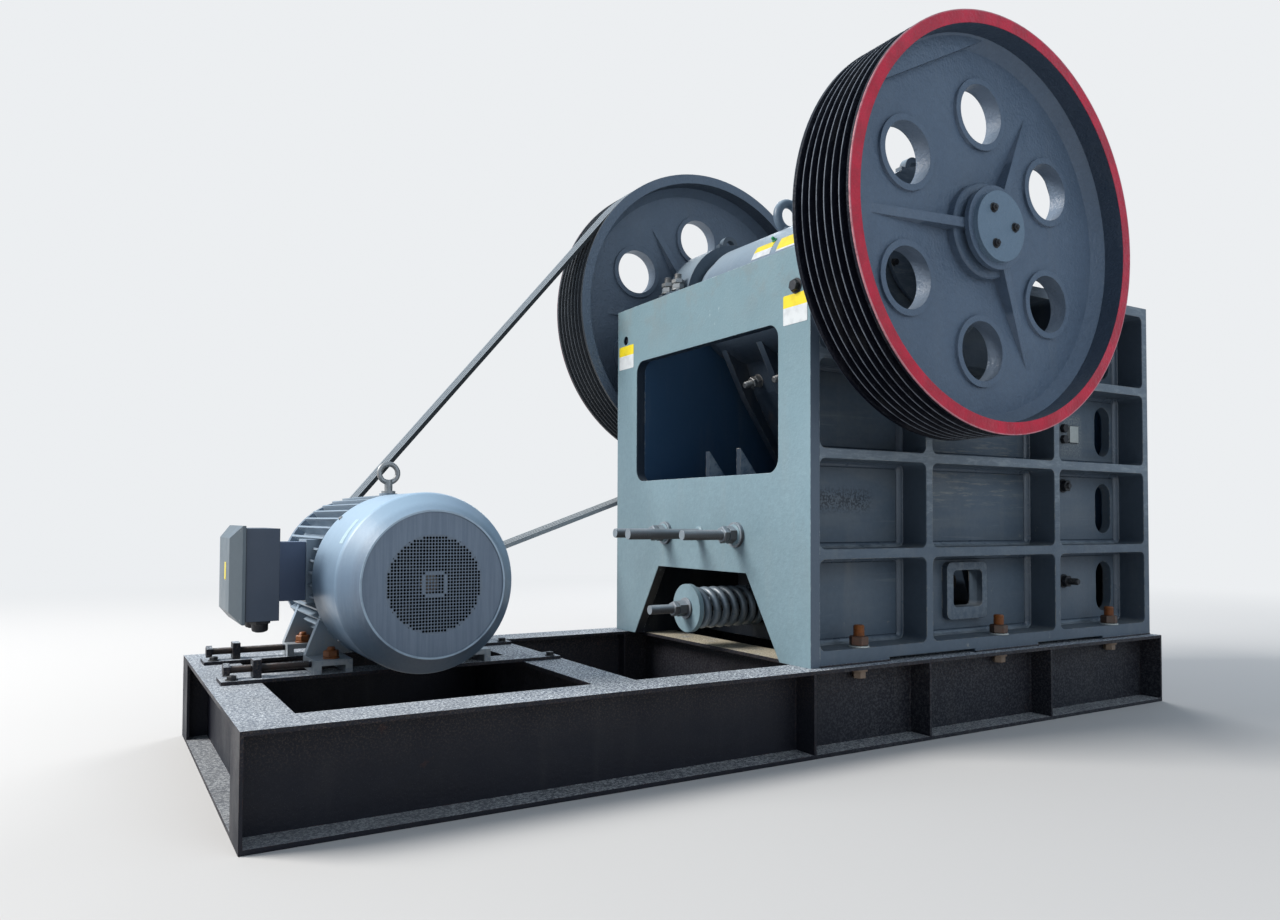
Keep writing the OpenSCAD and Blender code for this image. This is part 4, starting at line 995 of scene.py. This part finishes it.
def barrel_labels():
    """Two blank labels bent over the barrel, and a capped grease nipple between them."""
    piece = Piece()
    steps = 8
    section = ((-66, -1), (66, -1), (66, 1.2), (-66, 1.2))
    for centre, start, share in ((15, 143, 0.5), (-162, 143.5, 0.8)):
        for k in range(steps):
            piece.paint = 1 if k < share * steps else 0
            piece.prism(*([polar(ECCENTRIC, BARREL_R + lift, start + 14 * m / steps, (centre + y) * MM)
                           for y, lift in section] for m in (k, k + 1)))
    piece.done("barrel_labels", "jaw", WHITE, YELLOW)
    cap = Piece()
    foot = polar(ECCENTRIC, BARREL_R - 2, 142, -40 * MM)
    cap.turned(facing(foot, foot - polar(ECCENTRIC, 0, 0, foot.y)),
               [(0, 0), (13, 0), (13, 7), (8, 9), (8, 20), (5, 24), (0, 24)])
    cap.done("grease_cap", "jaw", GREEN)


# Wheels

def hub_bolts(name, side):
    """Three bolts that clamp a hub cap."""
    piece = Piece()
    for angle in (5, 125, 245):
        place = facing(polar(SHAFT, 76, angle, side * CAP_FACE), side * Y, angle)
        piece.washer(place, 19, 2)
        piece.nut(place, 15, 10, 2)
        piece.thread(place, 8, 10, 18, 2)
    piece.done(f"hub_bolts_{name}", "crankshaft", BLACK)


def web_ribs():
    """Ribs on the inner face of the far wheel's web, between those of the model."""
    piece = Piece()
    side = [(130, WEB_BACK), (WHEEL_R / MM - 205, WEB_BACK), (150, 50), (130, 50)]
    for angle in (0, 120, 240):
        along = polar(Vector((0, 0, 0)), 1, angle, 0).normalized()
        across = along.cross(Y) * 18 * MM
        piece.prism(*([SHAFT + along * r * MM + Y * (WHEEL_IN + y * MM - SHAFT.y) + across * s
                       for r, y in side] for s in (-1, 1)))
    piece.done("far_web_ribs", "crankshaft", WHEEL, slot="wheel_paint")


# Motor

def perforated_grille():
    """Sheet with small holes and a bare square ring round its middle, in place of the plain grille."""
    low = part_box("fan_grille")[0]
    pitch, hole, holes_r, sheet_r = 10.6, 4.4, 160, 169
    front, back = low.y + 0.3 * MM, low.y + 2.3 * MM
    corners = [(math.cos(a), math.sin(a)) for a in (math.pi * k / 4 for k in range(8))]
    piece = Piece()
    count = int(sheet_r / pitch) + 1
    points = {}

    def outline(cx, cz, y, sizes):
        line = []
        for (a, b), size in zip(corners, sizes):
            key = (round(cx + a * size, 3), round(cz + b * size, 3), y)
            if key not in points:
                points[key] = piece.mesh.verts.new(Vector((MOTOR.x + key[0] * MM, y, MOTOR.z + key[1] * MM)))
            line.append(points[key])
        return line

    square = [pitch / 2, pitch / math.sqrt(2)] * 4
    for i in range(-count, count):
        for j in range(-count, count):
            cx, cz = (i + 0.5) * pitch, (j + 0.5) * pitch
            if math.hypot(cx, cz) > sheet_r:
                continue
            outer = outline(cx, cz, front, square)
            a, b = sorted((abs(i + 0.5), abs(j + 0.5)))
            if math.hypot(cx, cz) > holes_r or (b == 3.5 and a < 3):
                piece.mesh.faces.new(outer)
                continue
            edge = outline(cx, cz, front, [hole] * 8)
            piece.skin(outer, edge)
            piece.skin(edge, outline(cx, cz, back, [hole] * 8))
    obj = piece.done("fan_grille_sheet", "crusher", GRILLE, slot="grille_black", sharp=20)
    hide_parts("fan_grille")


def motor_screws():
    """Cowl screws, end shield bolts, lid screws and the black gasket under the lid."""
    screws = Piece()
    for k in range(4):
        angle = 45 + 90 * k
        place = polar(MOTOR, COWL_R / MM - 0.5, angle, COWL_END - 0.03)
        screws.turned(facing(place, place - polar(MOTOR, 0, 0, place.y)),
                      [(0, 0), (9, 0), (9, 1), (7, 5), (0, 7)], 16)
    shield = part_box("motor_end_shield")[0].y + 36 * MM
    for k in range(8):
        place = facing(polar(MOTOR, 274, 45 * k + 22.5, shield), Y, 10 * k)
        screws.washer(place, 16, 3)
        screws.nut(place, 14, 12, 3)
    lid, back = middle("terminal_box_lid"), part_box("terminal_box_lid")[1].x
    for a in (-1, 1):
        for b in (-1, 1):
            point = Vector((back - 0.01, lid.y + a * 0.148, lid.z + b * 0.148))
            screws.turned(facing(point, -X), [(0, -2), (11, -2), (11, 4), (9, 7), (0, 7)], 16)
    screws.done("motor_screws", "crusher", PLATED)
    gasket = Piece()
    gasket.block(Matrix.Translation((back + 0.001, lid.y, lid.z)), (3, 314, 314), 0.8)
    gasket.done("terminal_gasket", "crusher", BLACK)


def cable_glands():
    """Two blanked cable glands under the terminal box."""
    piece = Piece()
    low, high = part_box("terminal_box")
    for y in (-75, 75):
        place = facing(Vector((low.x + 60 * MM, (low.y + high.y) / 2 + y * MM, low.z)), -Z)
        piece.nut(place, 34, 16)
        piece.turned(place, [(0, 14), (27, 14), (27, 34), (24, 40), (14, 44), (0, 44)])
    piece.done("cable_glands", "crusher", BLACK)


def motor_foot_bolts():
    """Rusty bolts through the motor's feet, and screws that hold the slide rails down."""
    piece = Piece()
    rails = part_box("motor_rails")
    spans = (15, 500)
    foot_h = 46
    for y in spans:
        for x in (-254, 254):
            top = rails[1].z + foot_h * MM
            place = facing(Vector((MOTOR.x + x * MM, (y - 12) * MM, top)), Z, x + y)
            piece.bolt(place, 15, 40, washer=28)
    piece.done("motor_foot_bolts", "crusher", ORANGE)
    ends = Piece()
    for y in spans:
        for x in (rails[0].x + 0.035, rails[1].x - 0.035):
            place = facing(Vector((x, (y - 35) * MM, rails[1].z)), Z, y)
            ends.washer(place, 20, 3)
            ends.nut(place, 16, 12, 3)
    ends.done("rail_bolts", "crusher", BLACK)


def slide_threads():
    """Threads on the screws that slide the motor."""
    piece = Piece()
    low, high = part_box("motor_adjusting_bolts")
    rail_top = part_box("motor_rails")[1].z
    for y in (15, 500):
        place = facing(Vector((low.x + 0.024, y * MM, rail_top + 30 * MM)), X)
        piece.thread(place, 13, 0, 66, 3.5)
        piece.thread(place, 13, 96, (high.x - low.x) / MM - 30, 3.5)
    piece.done("slide_screw_threads", "crusher", THREAD, slot="skid_paint")


def motor_labels():
    piece = Piece()
    lid = middle("terminal_box_lid")
    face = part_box("terminal_box_lid")[0].x
    piece.plate(upright(Vector((face, lid.y - 0.03, lid.z + 0.01)), -X), 34, 62, 0.8, 3, 0.98)
    piece.done("lid_label", "crusher", WHITE, YELLOW)
    strip = Piece()
    steps = 5
    section = ((0.118, -1), (0.158, -1), (0.158, 0.8), (0.118, 0.8))
    for k in range(steps):
        strip.prism(*([polar(MOTOR, COWL_R / MM + lift, 136 + 18 * m / steps, COWL_FACE + y)
                       for y, lift in section] for m in (k, k + 1)))
    strip.done("cowl_label", "crusher", CYAN)


# Skid

def skid_welds():
    """Weld beads where the stiffeners meet the webs."""
    piece = Piece()
    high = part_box("skid_side_beams")[1]
    flange_t, web_face = 14, high.y / MM - 102
    stiffener_x = [REAR_X / MM - 20, REAR_X / MM + 0.27 * BODY_L - 5, REAR_X / MM + 0.62 * BODY_L - 5]
    height = SKID_TOP / MM
    for _, side in SIDES:
        web = side * web_face
        for x in stiffener_x:
            for step in (-6, 6):
                foot = Vector(((x + step) * MM, web * MM, flange_t * MM))
                piece.bead(foot, foot + Z * (height - 2 * flange_t) * MM, 5, Y)
    piece.done("skid_welds", "crusher", SKID, slot="skid_paint")


for name, side in SIDES:
    anchor_bolts(name, side)
    cap_bolts(name, side)
    cover_bolts(name, side)
    cheek_bolts(name, side)
    pocket_fillets(name, side)
    pad_welds(name, side)
    hub_bolts(name, side)
web_ribs()
inner_cheek_bolts()
wall_bolts()
labels()
rod_threads()
tension_gear()
smooth_spring()
jaw_bolts()
barrel_labels()
perforated_grille()
motor_screws()
cable_glands()
motor_foot_bolts()
slide_threads()
motor_labels()
skid_welds()


# Stage

BACKDROP = (0.84, 0.86, 0.88, 1)
STAGE_R = 60


def floor_material():
    """Pale floor that turns into the backdrop's colour far from the machine."""
    n = Nodes("floor")
    n.shader.inputs["Base Color"].default_value = (0.62, 0.61, 0.60, 1)
    n.shader.inputs["Roughness"].default_value = 0.9
    x, y, _ = n.place()
    away = n.math("SQRT", n.math("ADD", n.math("POWER", x, 2.0), n.math("POWER", y, 2.0)))
    glow = n.add("ShaderNodeEmission")
    glow.inputs["Color"].default_value = BACKDROP
    rays = n.add("ShaderNodeLightPath")
    seen = n.math("ADD", rays.outputs["Is Camera Ray"], rays.outputs["Is Glossy Ray"], clamp=True)
    blend = n.add("ShaderNodeMixShader")
    n.link(n.math("MULTIPLY", n.ramp(away, 3.0, 11.0), seen), blend.inputs[0])
    n.link(n.shader.outputs[0], blend.inputs[1])
    n.link(glow.outputs[0], blend.inputs[2])
    n.link(blend.outputs[0], n.tree.nodes["Material Output"].inputs["Surface"])
    return n.material


def add_floor():
    mesh = bpy.data.meshes.new("floor")
    mesh.from_pydata([(x * STAGE_R, y * STAGE_R, -0.001) for x, y in ((-1, -1), (1, -1), (1, 1), (-1, 1))],
                     [], [(0, 1, 2, 3)])
    floor = bpy.data.objects.new("floor", mesh)
    bpy.context.scene.collection.objects.link(floor)
    floor.data.materials.append(floor_material())


def add_light(name, place, target, size, power, color=(1, 1, 1)):
    data = bpy.data.lights.new(name, "AREA")
    data.size, data.energy, data.color = size, power, color
    lamp = bpy.data.objects.new(name, data)
    bpy.context.scene.collection.objects.link(lamp)
    lamp.location = place
    lamp.rotation_euler = (Vector(target) - Vector(place)).to_track_quat("-Z", "Y").to_euler()


def add_world(strength, color, shine):
    """Even sky light; the camera sees the pale backdrop instead, and reflections a blue sky."""
    world = bpy.data.worlds.new("world")
    bpy.context.scene.world = world
    world.use_nodes = True
    tree = world.node_tree
    back = tree.nodes["Background"]
    back.inputs[0].default_value = color
    back.inputs[1].default_value = strength
    clear = tree.nodes.new("ShaderNodeBackground")
    clear.inputs[0].default_value = BACKDROP
    sky = tree.nodes.new("ShaderNodeBackground")
    sky.inputs[0].default_value = shine
    rays = tree.nodes.new("ShaderNodeLightPath")
    last = back
    for ray, seen in (("Is Glossy Ray", sky), ("Is Camera Ray", clear)):
        mixer = tree.nodes.new("ShaderNodeMixShader")
        tree.links.new(rays.outputs[ray], mixer.inputs[0])
        tree.links.new(last.outputs[0], mixer.inputs[1])
        tree.links.new(seen.outputs[0], mixer.inputs[2])
        last = mixer
    tree.links.new(last.outputs[0], tree.nodes["World Output"].inputs[0])


add_floor()
add_world(0.42, (0.74, 0.86, 1.0, 1), (0.60, 0.76, 0.94, 1))
add_light("key", (-12.6, 4.9, 11.2), (0, 0, 1.2), 7, 3700, (1, 0.97, 0.93))
add_light("fill", (1.5, -9, 4), (0, 0, 1.2), 6, 170, (0.86, 0.93, 1.0))
add_light("back", (6, 7, 6), (0, 0, 1.5), 5, 400)

bpy.context.scene.view_settings.view_transform = "Standard"
